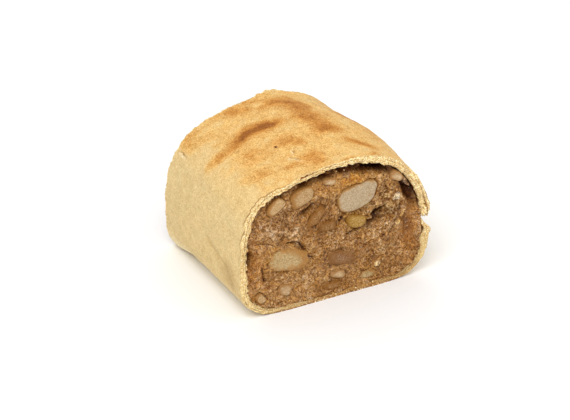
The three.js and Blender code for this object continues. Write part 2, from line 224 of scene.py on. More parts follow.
# Browner patches on the crust: place, y, reach, run, turn in degrees, strength.
TOASTED = [
    # the long streak and its tail
    (-31.5, 4.6, 5.5, 2.4, -8, 0.50), (-25.5, 4.4, 5, 2.2, 12, 0.50), (-19.5, 7.6, 4.6, 2.7, 24, 0.80),
    (-14.2, 9.8, 4.6, 3.1, 12, 0.98), (-9.6, 8.8, 4.6, 2.8, -8, 0.90), (-5.2, 7.9, 4.2, 2.9, -12, 1.0),
    # the blotch at the back and the band that runs forward from it
    (2.6, 21.8, 5, 2.8, 14, 0.72), (7.6, 18.2, 4.4, 4.4, -30, 1.02), (9, 12.6, 3.8, 4, 0, 0.84),
    (6.4, 6.6, 4.6, 4, 0, 0.62), (7.6, 1.4, 4.4, 4.4, 0, 0.76), (8.4, -5.2, 3.8, 3.6, 0, 0.80),
    (9, -9, 4.6, 2.8, -16, 0.72),
    # lesser patches
    (-12.2, 27.2, 5.6, 2.4, -24, 0.66), (-9, 23.4, 4.4, 2, -20, 0.42), (-5, 28.5, 7, 1.8, -26, 0.44),
    (-8.2, -5.6, 4.6, 3.6, 20, 0.52), (-3.4, -9.2, 3.4, 2.8, 0, 0.46), (-4.8, -20.2, 3.3, 3.2, 30, 0.74),
    (-3.8, -24.4, 2.8, 1.8, 0, 0.48), (-20.5, -5, 6, 4.6, 10, 0.38), (-13.2, -21, 3.6, 1.8, -16, 0.50),
    (-24.8, -17.4, 5.4, 3.2, 0, 0.34), (-32.8, 26.2, 6, 4.6, 0, 0.36), (12, -17, 3, 2, -16, 0.52),
    (15, -19.2, 3.6, 2.1, -22, 0.72), (18, -22, 3.2, 1.6, -30, 0.46), (16.4, -28.2, 2.2, 1.3, 0, 0.56),
    (4.8, -29.6, 3.2, 1.0, 0, 0.5),
    # the brow of the right shoulder and the side behind it
    (22.5, 6.4, 2.6, 4, 16, 0.72), (25.8, 4, 2.4, 4.6, 20, 1.05), (34.5, -16.5, 2.2, 4.6, -20, 0.66),
    (33, 20, 7, 6, 20, 0.44), (38, 2, 6, 5, -20, 0.5), (28, -7, 4, 6, 0, 0.34),
]
TOASTING = 0.55  # how far those patches brown the crust together

# Crisp little marks on the crust: dark pores (place, y, size) and pale splits (place, y, length along, turn).
PORES = [
    (-11.6, -6.6, 0.85), (-4, -7, 0.42), (-8.4, -3.8, 0.36), (-15.6, -11, 0.38), (-33.6, 9, 0.34),
    (-40.4, 8.6, 0.34), (-22, -13, 0.3), (-45, -6, 0.34), (-50, 12, 0.3), (3, -14, 0.3), (12, 24, 0.3),
]
SPLITS = [(-38.6, 24.6, 3.0, 4), (-10.2, -17.8, 2.0, 30), (-8.6, -13.6, 1.2, -30)]

# A soft fold in the left wall: points of place and y. The patch of painted shade at its end: place, y, reach
# and run.
FOLD = [(-57.5, -5), (-59.2, -9), (-61.2, -15.4), (-62.4, -20.6)]
SHADE_PATCH = (-65, -22, 4.6, 5.0)

# Apple flesh by kind: colour, colour of its rim, how crisp its outline is, how far the rim fades in, how much
# more of the rim shows on its right side.
FLESH = {
    "pale": ((190, 166, 132), (172, 128, 72), 0.9, 0.20, 0),
    "rosy": ((194, 156, 106), (166, 118, 60), 0.5, 0.34, -0.2),
    "cream": ((200, 168, 126), (168, 122, 70), 0.0, 0.55, 0),
    "yellow": ((180, 138, 58), (152, 106, 38), 0.2, 0.36, 0),
    "straw": ((187, 158, 108), (172, 124, 66), 0.0, 0.5, 0.28),
    "amber": ((152, 106, 50), (140, 92, 38), 0.0, 0.62, 0),
    "glassy": ((146, 102, 62), (142, 96, 48), 0.0, 0.62, 0),
}

# The finishes' colours, as they look on the lit portion; some of them are painted shade and painted light, as
# marked.
TONES = {
    "straw dough": (234, 199, 137), "honey dough": (217, 157, 79), "chestnut dough": (197, 131, 54),
    # Painted shade: the last dough colour here darkens the left wall's fold and the patch at its end.
    "olive dough": (220, 188, 120), "dull dough": (190, 157, 102),
    "oven speck": (186, 128, 62), "dry flake": (250, 232, 190),
    # The last colour on this line paints pale splits in the skin and painted light along the left wall's
    # foot.
    "pore ring": (176, 112, 50), "pore": (40, 18, 6), "split": (255, 238, 194),
    "cut shade": (176, 116, 44), "cut light": (252, 216, 146), "cut crest": (255, 241, 198),
    "cut patch": (214, 166, 98), "sleek cut": (230, 198, 130),
    "soaked shade": (148, 96, 42), "soaked light": (212, 166, 98),
    # The inner wall colour is painted shade, laid on the crust's inside and the inner share of its rims.
    "leaf shadow": (138, 86, 34), "inner wall": (104, 54, 16),
    "burnt foot": (158, 108, 60), "foot speck": (232, 200, 140),
    # Painted light on the pulp: bright glints, and dark specks that are painted shade in tiny holes.
    "glint": (232, 204, 162), "pit shade": (88, 48, 16),
    "crumb dark": (118, 74, 34), "crumb brown": (158, 110, 60), "crumb tan": (190, 146, 94),
    "crumb pale": (226, 194, 140),
    "flake dark": (196, 146, 84), "flake gold": (232, 200, 142), "flake pale": (255, 240, 200),
}

# Steps of the patches that crumbs (over the filling) and flakes (over the rims) are scattered from.
PATCH_STEPS = 110
STRIP_STEPS = 240
STRIP_ROWS = 7

# Both cuts: name, the way they face along Y, and their dice. Their noise starts from seeds of their own.
CUTS = (("main", -1, APPLE_AT_MAIN_CUT), ("other", 1, APPLE_AT_OTHER_CUT))
RIM_SEED = {-1: 40, 1: 60}
FACE_SEED = {-1: 200, 1: 1200}

# Camera, lamps (name, place, side, watts) and the room's own light.
AZIMUTH = -28.7
ELEVATION = 28.8
DISTANCE = 848.0
LENS = 148.4
AIM = (-4.56, 0.0, 21.2)
LAMPS = (
    ("key", (-300, -300, 600), 420, 2.6),
    ("fill", (420, -420, 260), 500, 0.6),
    ("rear", (160, 520, 420), 420, 0.7),
)
ROOM_LIGHT = 0.72
FLOOR_REACH = 3000


# ---- Noise ----

WORD = np.uint64(0xFFFFFFFF)


def hashed(seed, *cells):
    """A number from 0 to 1 for each whole-numbered cell."""
    h = np.full(np.broadcast(*cells).shape, (seed * 2654435761 + 97) & 0xFFFFFFFF, np.uint64)
    for k, c in enumerate(cells):
        cell = np.asarray(c).astype(np.int64).astype(np.uint64) + np.uint64(7919 * (k + 1))
        h = (h ^ cell) & WORD
        h = (h * np.uint64(2246822519)) & WORD
        h = h ^ (h >> np.uint64(15))
        h = (h * np.uint64(3266489917)) & WORD
        h = h ^ (h >> np.uint64(13))
    return h.astype(np.float64) / 0xFFFFFFFF


def value_noise(points, size, seed):
    """Smooth noise from -1 to 1 over points in any number of dimensions, with lumps of the given size."""
    p = np.asarray(points, float) / size
    base = np.floor(p)
    f = p - base
    f = f * f * f * (f * (f * 6 - 15) + 10)
    dims = p.shape[-1]
    total = np.zeros(p.shape[:-1])
    for corner in range(2 ** dims):
        bits = [(corner >> d) & 1 for d in range(dims)]
        weight = np.ones(p.shape[:-1])
        for d, bit in enumerate(bits):
            weight = weight * (f[..., d] if bit else 1 - f[..., d])
        total += weight * hashed(seed, *[base[..., d] + bit for d, bit in enumerate(bits)])
    return 2 * total - 1


def fractal(points, size, seed, octaves=4, gain=0.5):
    """Noise from -1 to 1 with ever finer lumps, the largest of the given size."""
    total, amplitude, reach = 0, 1, 0
    for k in range(octaves):
        total = total + amplitude * value_noise(points, size / 2 ** k, seed + k)
        reach += amplitude
        amplitude *= gain
    return total / reach


def cells(points, size, seed):
    """Distance to the nearest scattered seed, in cell sizes, and that seed's own number from 0 to 1."""
    p = np.asarray(points, float) / size
    base = np.floor(p)
    near = np.full(p.shape[:-1], 9.0)
    number = np.zeros(p.shape[:-1])
    for dx in (-1, 0, 1):
        for dz in (-1, 0, 1):
            cx, cz = base[..., 0] + dx, base[..., 1] + dz
            sx = cx + hashed(seed, cx, cz)
            sz = cz + hashed(seed + 1, cx, cz)
            d = np.hypot(p[..., 0] - sx, p[..., 1] - sz)
            closer = d < near
            number = np.where(closer, hashed(seed + 2, cx, cz), number)
            near = np.where(closer, d, near)
    return near, number


def bell(x):
    """1 at 0, falling off softly to both sides."""
    return np.exp(-x * x)


def smooth(x, low, high):
    """0 at low, 1 at high and smooth between, whichever of them is the larger."""
    t = np.clip((x - low) / (high - low), 0, 1)
    return t * t * (3 - 2 * t)


def pair(a, b):
    """Points with these two coordinates."""
    return np.stack(np.broadcast_arrays(a, b), -1)


# ---- Places on the log ----

def closed_spline(points, per=96):
    """A closed smooth curve through the points, with `per` steps between two of them."""
    pts = np.array(points, float)
    s = (np.arange(per) / per)[:, None]
    out = []
    for i in range(len(pts)):
        p0, p1, p2, p3 = (pts[(i + k) % len(pts)] for k in (-1, 0, 1, 2))
        out.append(0.5 * (2 * p1 + (p2 - p0) * s + (2 * p0 - 5 * p1 + 4 * p2 - p3) * s ** 2
                          + (3 * p1 - p0 - 3 * p2 + p3) * s ** 3))
    return np.vstack(out)


CURVE = closed_spline(SECTION)
CURVE = np.vstack([CURVE, CURVE[:1]])
STEPS = np.r_[0, np.cumsum(np.linalg.norm(np.diff(CURVE, axis=0), axis=1))]
ROUND = STEPS[-1]


def gap(a, b):
    """The way from place b to place a round the outline, + to the right."""
    return np.mod(a - b + ROUND / 2, ROUND) - ROUND / 2


def on_curve(place):
    """X and z of a place on the outline."""
    s = np.mod(place, ROUND)
    return np.interp(s, STEPS, CURVE[:, 0]), np.interp(s, STEPS, CURVE[:, 1])


def section_at(place):
    """Point and outward direction of the outline at a place."""
    x, z = on_curve(place)
    xa, za = on_curve(place - 0.25)
    xb, zb = on_curve(place + 0.25)
    length = np.hypot(xb - xa, zb - za)
    return x, z, -(zb - za) / length, (xb - xa) / length


def swell_at(place, y, swells):
    """How far the swells push the skin out, or in."""
    return sum(h * bell(gap(place, s) / reach) * bell((y - y0) / run) for s, y0, h, reach, run in swells)


def under(depth, place, y, swells=tuple(SWELLS)):
    """The points that lie `depth` under the log's skin."""
    x, z, ox, oz = section_at(place)
    out = swell_at(place, y, swells) - depth
    return np.stack([x + ox * out, y + 0 * out, np.maximum(0, z + oz * out)], -1)


def dough(place):
    """The crust's thickness."""
    return DOUGH + sum(extra * bell(gap(place, s) / reach) for s, extra, reach in UNEVEN_DOUGH)


def line_distance(x, z, points):
    """Distance to a line through a few points."""
    nearest = 99.0
    for (ax, az), (bx, bz) in zip(points, points[1:]):
        length = (bx - ax) ** 2 + (bz - az) ** 2
        share = np.clip(((x - ax) * (bx - ax) + (z - az) * (bz - az)) / length, 0, 1)
        nearest = np.minimum(nearest, np.hypot(x - ax - share * (bx - ax), z - az - share * (bz - az)))
    return nearest


def turned(x, z, cx, cz, degrees):
    """Coordinates along and across a shape at cx, cz, turned by its tilt."""
    a = math.radians(degrees)
    return ((x - cx) * math.cos(a) + (z - cz) * math.sin(a), (z - cz) * math.cos(a) - (x - cx) * math.sin(a))


# ---- Making mesh objects ----

def make_object(name, points_mm, faces, material, values=None, colours=None, smooth_shade=True):
    """A mesh object with its place in its mesh, float values and colours kept on its points."""
    mesh = bpy.data.meshes.new(name)
    points = np.array(points_mm, float)
    points[:, 0] -= OFF_MIDDLE
    mesh.from_pydata((points * MM).tolist(), [], faces.tolist() if hasattr(faces, "tolist") else faces)
    for key, data in (values or {}).items():
        layer = mesh.attributes.new(key, "FLOAT", "POINT")
        layer.data.foreach_set("value", np.ascontiguousarray(data, np.float32).ravel())
    for key, data in (colours or {}).items():
        layer = mesh.attributes.new(key, "FLOAT_COLOR", "POINT")
        rgba = np.column_stack([data, np.ones(len(data))]).astype(np.float32)
        layer.data.foreach_set("color", rgba.ravel())
    mesh.materials.append(material)
    mesh.polygons.foreach_set("use_smooth", np.full(len(mesh.polygons), smooth_shade))
    mesh.update()
    obj = bpy.data.objects.new(name, mesh)
    bpy.context.scene.collection.objects.link(obj)
    return obj


def ring_faces(rows, count, closed):
    """Quads between rings of `count` points, clockwise seen from the first ring."""
    i = np.arange(count)
    nxt = (i + 1) % count
    quads = []
    for r in range(rows if closed else rows - 1):
        a, b = r * count, ((r + 1) % rows) * count
        quads.append(np.stack([a + i, a + nxt, b + nxt, b + i], -1))
    return np.vstack(quads)


# ---- Shader expressions ----

class Socket:
    """An output socket, so that sums on values add their Math nodes."""

    def __init__(self, graph, socket):
        self.graph = graph
        self.socket = socket

    def __add__(self, other):
        return self.graph.math("ADD", self, other)

    def __sub__(self, other):
        return self.graph.math("SUBTRACT", self, other)

    def __rsub__(self, other):
        return self.graph.math("SUBTRACT", other, self)

    def __mul__(self, other):
        return self.graph.math("MULTIPLY", self, other)

    __radd__ = __add__
    __rmul__ = __mul__


class Graph:
    """The node tree of a new material."""

    def __init__(self, name):
        self.material = bpy.data.materials.new(name)
        self.material.use_nodes = True
        self.tree = self.material.node_tree
        self.shader = self.tree.nodes["Principled BSDF"]

    def node(self, kind, settings=None, inputs=None, output=0):
        """Adds a node: its settings first, then the values or links of its sockets."""
        n = self.tree.nodes.new(kind)
        for key, value in (settings or {}).items():
            if key == "stops":
                ramp = n.color_ramp
                while len(ramp.elements) < len(value):
                    ramp.elements.new(0.5)
                for element, (position, colour) in zip(ramp.elements, value):
                    element.position = position
                    element.color = (*colour, 1)
            else:
                setattr(n, key, value)
        for key, value in (inputs or {}).items():
            self.feed(n.inputs[key], value)
        return Socket(self, n.outputs[output])

    def feed(self, socket, value):
        if isinstance(value, Socket):
            self.tree.links.new(value.socket, socket)
        elif isinstance(value, tuple) and len(value) == 3 and socket.type == "RGBA":
            socket.default_value = (*value, 1)
        else:
            socket.default_value = value

    def math(self, operation, a, b=0.0, clamp=False):
        return self.node("ShaderNodeMath", {"operation": operation, "use_clamp": clamp}, {0: a, 1: b})

    def clamped(self, value):
        return self.math("ADD", value, 0.0, clamp=True)

    def attribute(self, name, output="Fac"):
        return self.node("ShaderNodeAttribute", {"attribute_name": name}, output=output)

    def place(self):
        return self.node("ShaderNodeTexCoord", output="Object")

    def noise(self, size_mm, detail=3.0, rough=0.55, vector=None):
        return self.node("ShaderNodeTexNoise", None, {
            "Vector": vector or self.place(), "Scale": 1 / (size_mm * MM), "Detail": detail,
            "Roughness": rough}, output="Fac")

    def spots(self, size_mm):
        """Distance from the nearest scattered spot, in spot sizes."""
        return self.node("ShaderNodeTexVoronoi", {"feature": "F1"}, {
            "Vector": self.place(), "Scale": 1 / (size_mm * MM)}, output="Distance")

    def step(self, value, low, high):
        """0 at low, 1 at high, smooth between."""
        return self.node("ShaderNodeMapRange", {"interpolation_type": "SMOOTHSTEP"}, {
            "Value": value, "From Min": low, "From Max": high})

    def ramp(self, value, *stops):
        """A colour for each value: stops of position and colour."""
        return self.node("ShaderNodeValToRGB", {"stops": stops}, {"Fac": value})

    def blend(self, share, a, b):
        """Colour a where the share is 0 and colour b where it is 1."""
        return self.node("ShaderNodeMix", {"data_type": "RGBA"}, {"Factor": share, 6: a, 7: b}, output=2)

    def layers(self, base, *coats):
        """Lays colours over a base, one after the other: pairs of share and colour."""
        for share, colour in coats:
            base = self.blend(share, base, colour)
        return base

    def times(self, colour, tint):
        return self.node("ShaderNodeVectorMath", {"operation": "MULTIPLY"}, {0: colour, 1: tint},
                         output="Vector")

    def tinted(self, colour, shift, warmth, gain=0.42):
        """Lightens a colour where shift is over 0 and darkens it where it is under 0, the darks warmer."""
        share = self.clamped(shift + 0.5)
        r, gr, b = gain, gain + 0.14 * warmth, gain + 0.36 * warmth
        return self.times(colour, self.blend(share, (1 - r, 1 - gr, 1 - b), (1 + r, 1 + gr, 1 + b)))

    def bump(self, height, strength, distance_mm):
        return self.node("ShaderNodeBump", None, {
            "Strength": strength, "Distance": distance_mm * MM, "Height": height}, output="Normal")

    def finish(self, **sockets):
        """Feeds the shader's sockets, given with underscores for spaces."""
        for key, value in sockets.items():
            self.feed(self.shader.inputs[key.replace("_", " ")], value)
        return self.material


LIT = 1.14  # how much brighter than its own colour a piece looks in the stage's light


def srgb(r, g, b):
    """A colour as it looks on the lit portion, from 0 to 255, made linear."""
    return tuple(((c / 255 + 0.055) / 1.055) ** 2.4 / LIT for c in (r, g, b))


TONE = {name: srgb(*value) for name, value in TONES.items()}


# ---- Finishes ----

def crust_colour(g, look, toast):
    """The outer skin: browned by its toasting, with olive veils, oven specks and dry flakes."""
    base = g.ramp(toast, (0.0, tuple(look.pale_dough)), (0.14, TONE["straw dough"]),
                  (0.25, tuple(look.golden_dough)), (0.48, TONE["honey dough"]),
                  (0.74, TONE["chestnut dough"]), (1.0, tuple(look.dark_dough)))
    olive = g.step(g.noise(17, 3, 0.55), 0.42, 0.7) * g.step(toast, 0.3, 0.1)
    specks = g.step(g.spots(2.9), 0.12, 0.05) * g.step(g.noise(7, 2), 0.4, 0.6)
    flakes = g.step(g.spots(2.3), 0.10, 0.03) * g.step(g.noise(5, 3), 0.52, 0.66)
    # The last coat is painted shade along the left wall's fold and over the patch at its end.
    return g.layers(base, (olive * 0.15, TONE["olive dough"]), (specks * 0.6, TONE["oven speck"]),
                    (flakes * 0.5, TONE["dry flake"]), (g.attribute("dull"), TONE["dull dough"]))


def rim_colour(g, soaked, sleek):
    """The cut edge of the dough: crumbly, smoother where it is sleek and brown where it is soaked."""
    crumbly = g.noise(0.45, 3, 0.8)
    patchy = g.noise(1.9, 4, 0.65)
    cut = g.blend(g.step(crumbly, 0.34, 0.46), TONE["cut shade"], TONE["cut light"])
    juicy = g.blend(g.step(crumbly, 0.36, 0.64), TONE["soaked shade"], TONE["soaked light"])
    return g.layers(cut, (g.step(crumbly, 0.5, 0.6), TONE["cut crest"]),
                    (g.step(patchy, 0.56, 0.74) * 0.4, TONE["cut patch"]),
                    (sleek * 0.6, TONE["sleek cut"]), (soaked, juicy))


def pastry_finish(look):
    g = Graph("baked_pastry")
    mottled = g.noise(6, 4, 0.6)
    fine = g.noise(0.9, 5, 0.65)
    stipple = g.noise(0.5, 2, 0.8)
    coarse = g.noise(2.2, 4, 0.7)
    toasted, rim, pore = g.attribute("toast"), g.attribute("rim"), g.attribute("pore")
    soaked, sleek = g.attribute("soaked"), g.attribute("sleek")
    dry = 1.0 - soaked * 0.75
    toast = toasted + (fine - 0.5) * (g.step(toasted, 0.1, 0.5) * 0.24 + 0.12) + (mottled - 0.5) * 0.12
    burnt = g.step(g.attribute("foot") + (g.noise(0.8, 4, 0.75) - 0.5) * 0.9, 0.35, 0.8)
    base = g.layers(
        crust_colour(g, look, toast),
        (rim, rim_colour(g, soaked, sleek)),
        (g.clamped(g.attribute("groove") * 1.5 * dry), TONE["leaf shadow"]),
        # Painted shade on the crust's inner wall and on the inner share of the rims.
        (g.attribute("inside") * (0.3 + dry * 0.7), TONE["inner wall"]),
        (burnt, TONE["burnt foot"]),
        (g.step(g.noise(0.7, 3, 0.7), 0.5, 0.6) * burnt, TONE["foot speck"]),
        (g.step(pore, 0.05, 0.35) * 0.8, TONE["pore ring"]),
        (g.step(pore, 0.42, 0.6), TONE["pore"]),
        # Pale splits in the skin, and a band of painted light along the left wall's foot.
        (g.clamped(g.attribute("split")) * 0.9, TONE["split"]))
    along = g.node("ShaderNodeMapping", None, {"Vector": g.place(), "Scale": (1.0, 0.2, 1.0)})
    streaks = (g.noise(0.9, 3, 0.7, vector=along) - 0.5) * (1.0 - rim)
    vivid = g.step(toast, 0.05, 0.4) * 0.6 + 0.6 + rim * (0.8 - sleek * 0.7)
    grainy = ((stipple - 0.5) * 2.0 + (coarse - 0.5) * 0.7) * vivid
    base = g.tinted(base, grainy + (mottled - 0.5) * 0.2 + streaks * 0.3, 0.9)
    return g.finish(Base_Color=base, Roughness=0.62 + (fine - 0.5) * 0.2,
                    Normal=g.bump(fine + stipple * 0.5, 0.4, 0.18),
                    Subsurface_Weight=0.05, Subsurface_Radius=(1.0, 0.6, 0.3), Subsurface_Scale=0.001,
                    Specular_IOR_Level=0.1)


def filling_finish():
    g = Graph("apple_filling")
    calm = g.attribute("calm")
    loose = 1.0 - calm
    grain = g.noise(0.45, 2, 0.8)
    crumb = g.noise(0.95, 3, 0.75)
    patchy = g.step(g.noise(4.5, 3, 0.6), 0.38, 0.62) * 0.8 + 0.4
    # Painted highlights on the fine grain's crests and painted shade in its dips.
    gleams, pit_shades = g.step(grain, 0.56, 0.68), g.step(grain, 0.45, 0.32)
    shift = (gleams * 1.9 - pit_shades * 1.4) * (loose * 0.7 + 0.5) * patchy + (crumb - 0.5) * (loose * 2.2 + 0.8)
    base = g.tinted(g.attribute("pulp", "Color"), shift, 0.7, 0.72)
    warm_to_rosy = g.blend(g.step(g.noise(1.2, 4, 0.75), 0.36, 0.64), (1.05, 0.98, 0.76), (0.97, 1.02, 1.24))
    sparse = g.step(g.noise(2.6, 3, 0.7), 0.48, 0.6)
    # The last two coats are painted glints and painted shade in tiny holes.
    base = g.layers(
        g.times(base, warm_to_rosy),
        (g.step(g.spots(1.3), 0.26, 0.1) * sparse * 0.6, TONE["glint"]),
        (g.step(g.spots(1.9), 0.22, 0.08) * (1.0 - sparse) * loose * 0.7, TONE["pit shade"]))
    wet = g.step(g.noise(2.0, 3, 0.7), 0.46, 0.6)
    return g.finish(Base_Color=base, Roughness=0.6, Normal=g.bump(crumb + grain, 0.75, 0.28),
                    Coat_Weight=wet * (calm * 0.4 + 0.25), Coat_Roughness=0.22,
                    Subsurface_Weight=0.06, Subsurface_Radius=(1.0, 0.5, 0.25), Subsurface_Scale=0.001,
                    Specular_IOR_Level=0.08)


def apple_finish(look):
    g = Graph("apple_flesh")
    grain = g.noise(0.5, 4, 0.75)
    fine = g.noise(0.5, 2, 0.8)
    cloudy = g.noise(2.2, 4, 0.65)
    ragged = g.noise(1.0, 4, 0.7)
    fade, rimmed = g.attribute("fade"), g.attribute("rimmed", "Color")
    uneven = (ragged - 0.5) * (fade * 1.6 + 0.1) + (cloudy - 0.5) * (fade * 1.6 + 0.1)
    edge = g.step(g.attribute("edge") + uneven, 0.98 - fade * 1.3, 1.0 - fade * 0.4)
    base = g.layers(
        g.attribute("flesh", "Color"),
        (g.step(grain, 0.46, 0.74) * 0.5, tuple(look.apple_light)),
        (g.step(grain, 0.5, 0.3) * 0.4, rimmed),
        (g.step(cloudy, 0.5, 0.72) * 0.4, rimmed),
        (edge, rimmed))
    base = g.tinted(base, (fine - 0.5) * (fade * 1.2 + 0.9) + (cloudy - 0.5) * (fade * 0.8 + 0.2), 0.8)
    return g.finish(Base_Color=base, Roughness=0.55, Normal=g.bump(grain, 0.35, 0.14),
                    Coat_Weight=g.step(cloudy, 0.5, 0.62) * 0.3, Coat_Roughness=0.3,
                    Subsurface_Weight=0.2, Subsurface_Radius=(1.0, 0.7, 0.4), Subsurface_Scale=0.0015,
                    Specular_IOR_Level=0.12)


def crumb_finish(look):
    g = Graph("loose_crumbs")
    base = g.ramp(g.attribute("shade"), (0.0, TONE["crumb dark"]), (0.45, TONE["crumb brown"]),
                  (0.8, TONE["crumb tan"]), (1.0, TONE["crumb pale"]))
    base = g.blend(g.noise(0.35, 3, 0.6) * 0.4, base, tuple(look.pulp))
    return g.finish(Base_Color=base, Roughness=0.6, Normal=g.bump(g.noise(0.25, 3), 0.4, 0.08),
                    Specular_IOR_Level=0.4)


def flake_finish(look):
    g = Graph("dry_flakes")
    base = g.ramp(g.attribute("shade"), (0.0, TONE["flake dark"]), (0.4, TONE["flake gold"]),
                  (1.0, TONE["flake pale"]))
    base = g.blend(g.noise(0.4, 3, 0.6) * 0.3, base, tuple(look.golden_dough))
    return g.finish(Base_Color=base, Roughness=0.7, Specular_IOR_Level=0.2)


def floor_finish():
    g = Graph("pale_floor")
    base = g.blend(g.noise(120, 2, 0.5) * 0.3, (0.94, 0.94, 0.94), (0.92, 0.92, 0.92))
    return g.finish(Base_Color=base, Roughness=0.8, Specular_IOR_Level=0.1)


# ---- Pastry ----

def cut_steps(rows, ends=0.75):
    """Shares of the length from 0 to 1, closer together near both cuts."""
    s = np.linspace(0, 1, rows)
    return (1 - ends) * s + ends * (0.5 - 0.5 * np.cos(np.pi * s))


def sleek_at(place):
    """Where the dough's cut edge is smooth and doughy: the right wall, and in part the left one."""
    right = smooth(place, 60, 66) * smooth(place, 106, 90)
    return right + 0.55 * smooth(gap(place, 0), -40, -54) * (place > ROUND / 2)


def rim_y(place, across, end):
    """Where the dough ends at a cut, for a share `across` of its thickness: leaves, frays and the tear."""
    seed = RIM_SEED[end]
    along, around = pair(place, across * 3), pair(place, 0)
    leaf = np.clip(across + 0.12 * value_noise(along, 7, seed), 0, 1)
    number = np.floor(LEAVES * leaf)
    steps = pair(place, number * 17.3)
    parted = smooth(value_noise(steps, 5.5, seed + 1), -0.25, 0.6)
    if end < 0:
        parted = parted + bell(gap(place, PEELED[0]) / PEELED[1]) * smooth(across, 0.5, 0.4)
    groove = np.clip(parted, 0, 1.3) * (1 - np.abs(np.sin(np.pi * LEAVES * leaf))) ** 3
    ragged = FRAY["leaf"] * (1 + fractal(steps, 3.2, seed + 2, 3))
    ragged = (ragged + FRAY["crumb"] * value_noise(along, 0.9, seed + 5)) * (1 - 0.6 * sleek_at(place))
    teeth = smooth(across, 0.72, 1.0) * (0.5 + FRAY["teeth"] * value_noise(around, 1.5, seed + 9))
    skin = smooth(across, 0.22, 0.0) * FRAY["skin"] * (1 + value_noise(around, 1.1, seed + 12))
    tear = 0
    if end < 0:
        frayed = TEAR["reach"] * (1 + 0.3 * value_noise(pair(across * 4, place), 0.9, 77))
        off = gap(place, TEAR["place"] + TEAR["slant"] * (0.5 - across)) + 0.7 * value_noise(steps, 1.3, 78)
        tear = TEAR["depth"] * np.exp(-(off / frayed) ** 4)
        flap = bell(gap(place, FLAP[0]) / FLAP[1])
        torn_leaf = np.maximum(0.5 + value_noise(pair(place, number * 9.1), 0.8, 79), 0)
        ragged = ragged + flap * smooth(across, 0.35, 0.5) * FRAY["flap"] * torn_leaf
        groove = np.maximum(groove, 0.7 * flap * bell((leaf - 0.36) / 0.07))
    flat_foot = 1 - 0.6 * smooth(np.abs(gap(place, 0)), 84, 94)
    recess = (FRAY["groove"] * groove + ragged + teeth + skin) * flat_foot + tear
    return end * (LENGTH / 2 - np.maximum(recess, 0.02)), groove


def toasting(place, y):
    """How toasted the crust is, from 0 to about 1: pale walls, a golden top and the browned patches."""
    spot = pair(place, y)
    warp_a = place + 1.1 * fractal(spot, 3.4, 301, 4)
    warp_y = y + 0.9 * fractal(spot, 3.4, 311, 4)
    brow = np.where(gap(place, 0) < 0, 33 + 0.16 * y, 36) + 5 * fractal(spot, 14, 321, 3)
    top = smooth(np.abs(gap(place, 0)), brow + 9, brow - 10)
    patches = 0
    for s, y0, reach, run, turn, strength in TOASTED:
        a = math.radians(turn)
        u = gap(warp_a, s) * math.cos(a) + (warp_y - y0) * math.sin(a)
        v = (warp_y - y0) * math.cos(a) - gap(warp_a, s) * math.sin(a)
        patches = patches + strength * bell(u / reach) * bell(v / run)
    speckle = 1 + 0.4 * fractal(spot, 2.4, 341, 3)
    return 0.05 + 0.2 * top + TOASTING * patches * speckle + (0.03 + 0.09 * top) * fractal(spot, 3, 331, 4)


def split_at(place, y, aside):
    """The small splits in the crust's skin, from 0 to 1, drawn `aside` from their middle line."""
    wander = 0.5 * value_noise(pair(place, y), 1.3, 23) + aside
    total = 0
    for s, y0, long, turn in SPLITS:
        off = gap(place, s) + (y - y0) * math.tan(math.radians(turn)) + wander
        total = total + bell(off / 0.28) * bell((y - y0) / long)
    return total


def fold_at(place, y, reach):
    """The soft fold in the left wall, from 0 to 1."""
    return bell(line_distance(gap(place, 0), y + 0.8 * value_noise(pair(place, y), 4, 67), FOLD) / reach)


def skin_row(places, y, front, back, blister):
    """How far the skin stands out along one row, and the edge and shadow of the leaf lifted at the cut."""
    spot = pair(places, y)
    lump = (blister * fractal(spot, 9, 11, 3) + 0.10 * fractal(spot, 2.6, 15, 3)
            + 0.03 * value_noise(spot, 0.9, 19))
    off_crease = gap(places, CREASE["place"] + CREASE["slant"] * (CREASE["from"] - y)) / CREASE["reach"]
    crease = -CREASE["depth"] * bell(off_crease) * bell((y - CREASE["y"]) / CREASE["run"])
    crease = crease - FOLD_DEPTH * fold_at(places, y, 0.9)
    crack = -SPLIT_DEPTH * split_at(places, y, -0.5)
    blown = bell(gap(places, 4) / 10) * bell((back - y) / 1.4) * (0.3 + 0.6 * fractal(spot, 1.6, 65, 3))
    behind = y - front - 1.1 - 0.6 * value_noise(pair(places, 0), 2.2, 61)
    lifted = bell(gap(places, -36) / 15)
    leaf_shadow, leaf_edge = lifted * bell(behind / 0.35), lifted * bell((behind + 0.6) / 0.4)
    return lump + crease + crack + blown - 0.35 * leaf_shadow + 0.3 * leaf_edge, leaf_edge, leaf_shadow


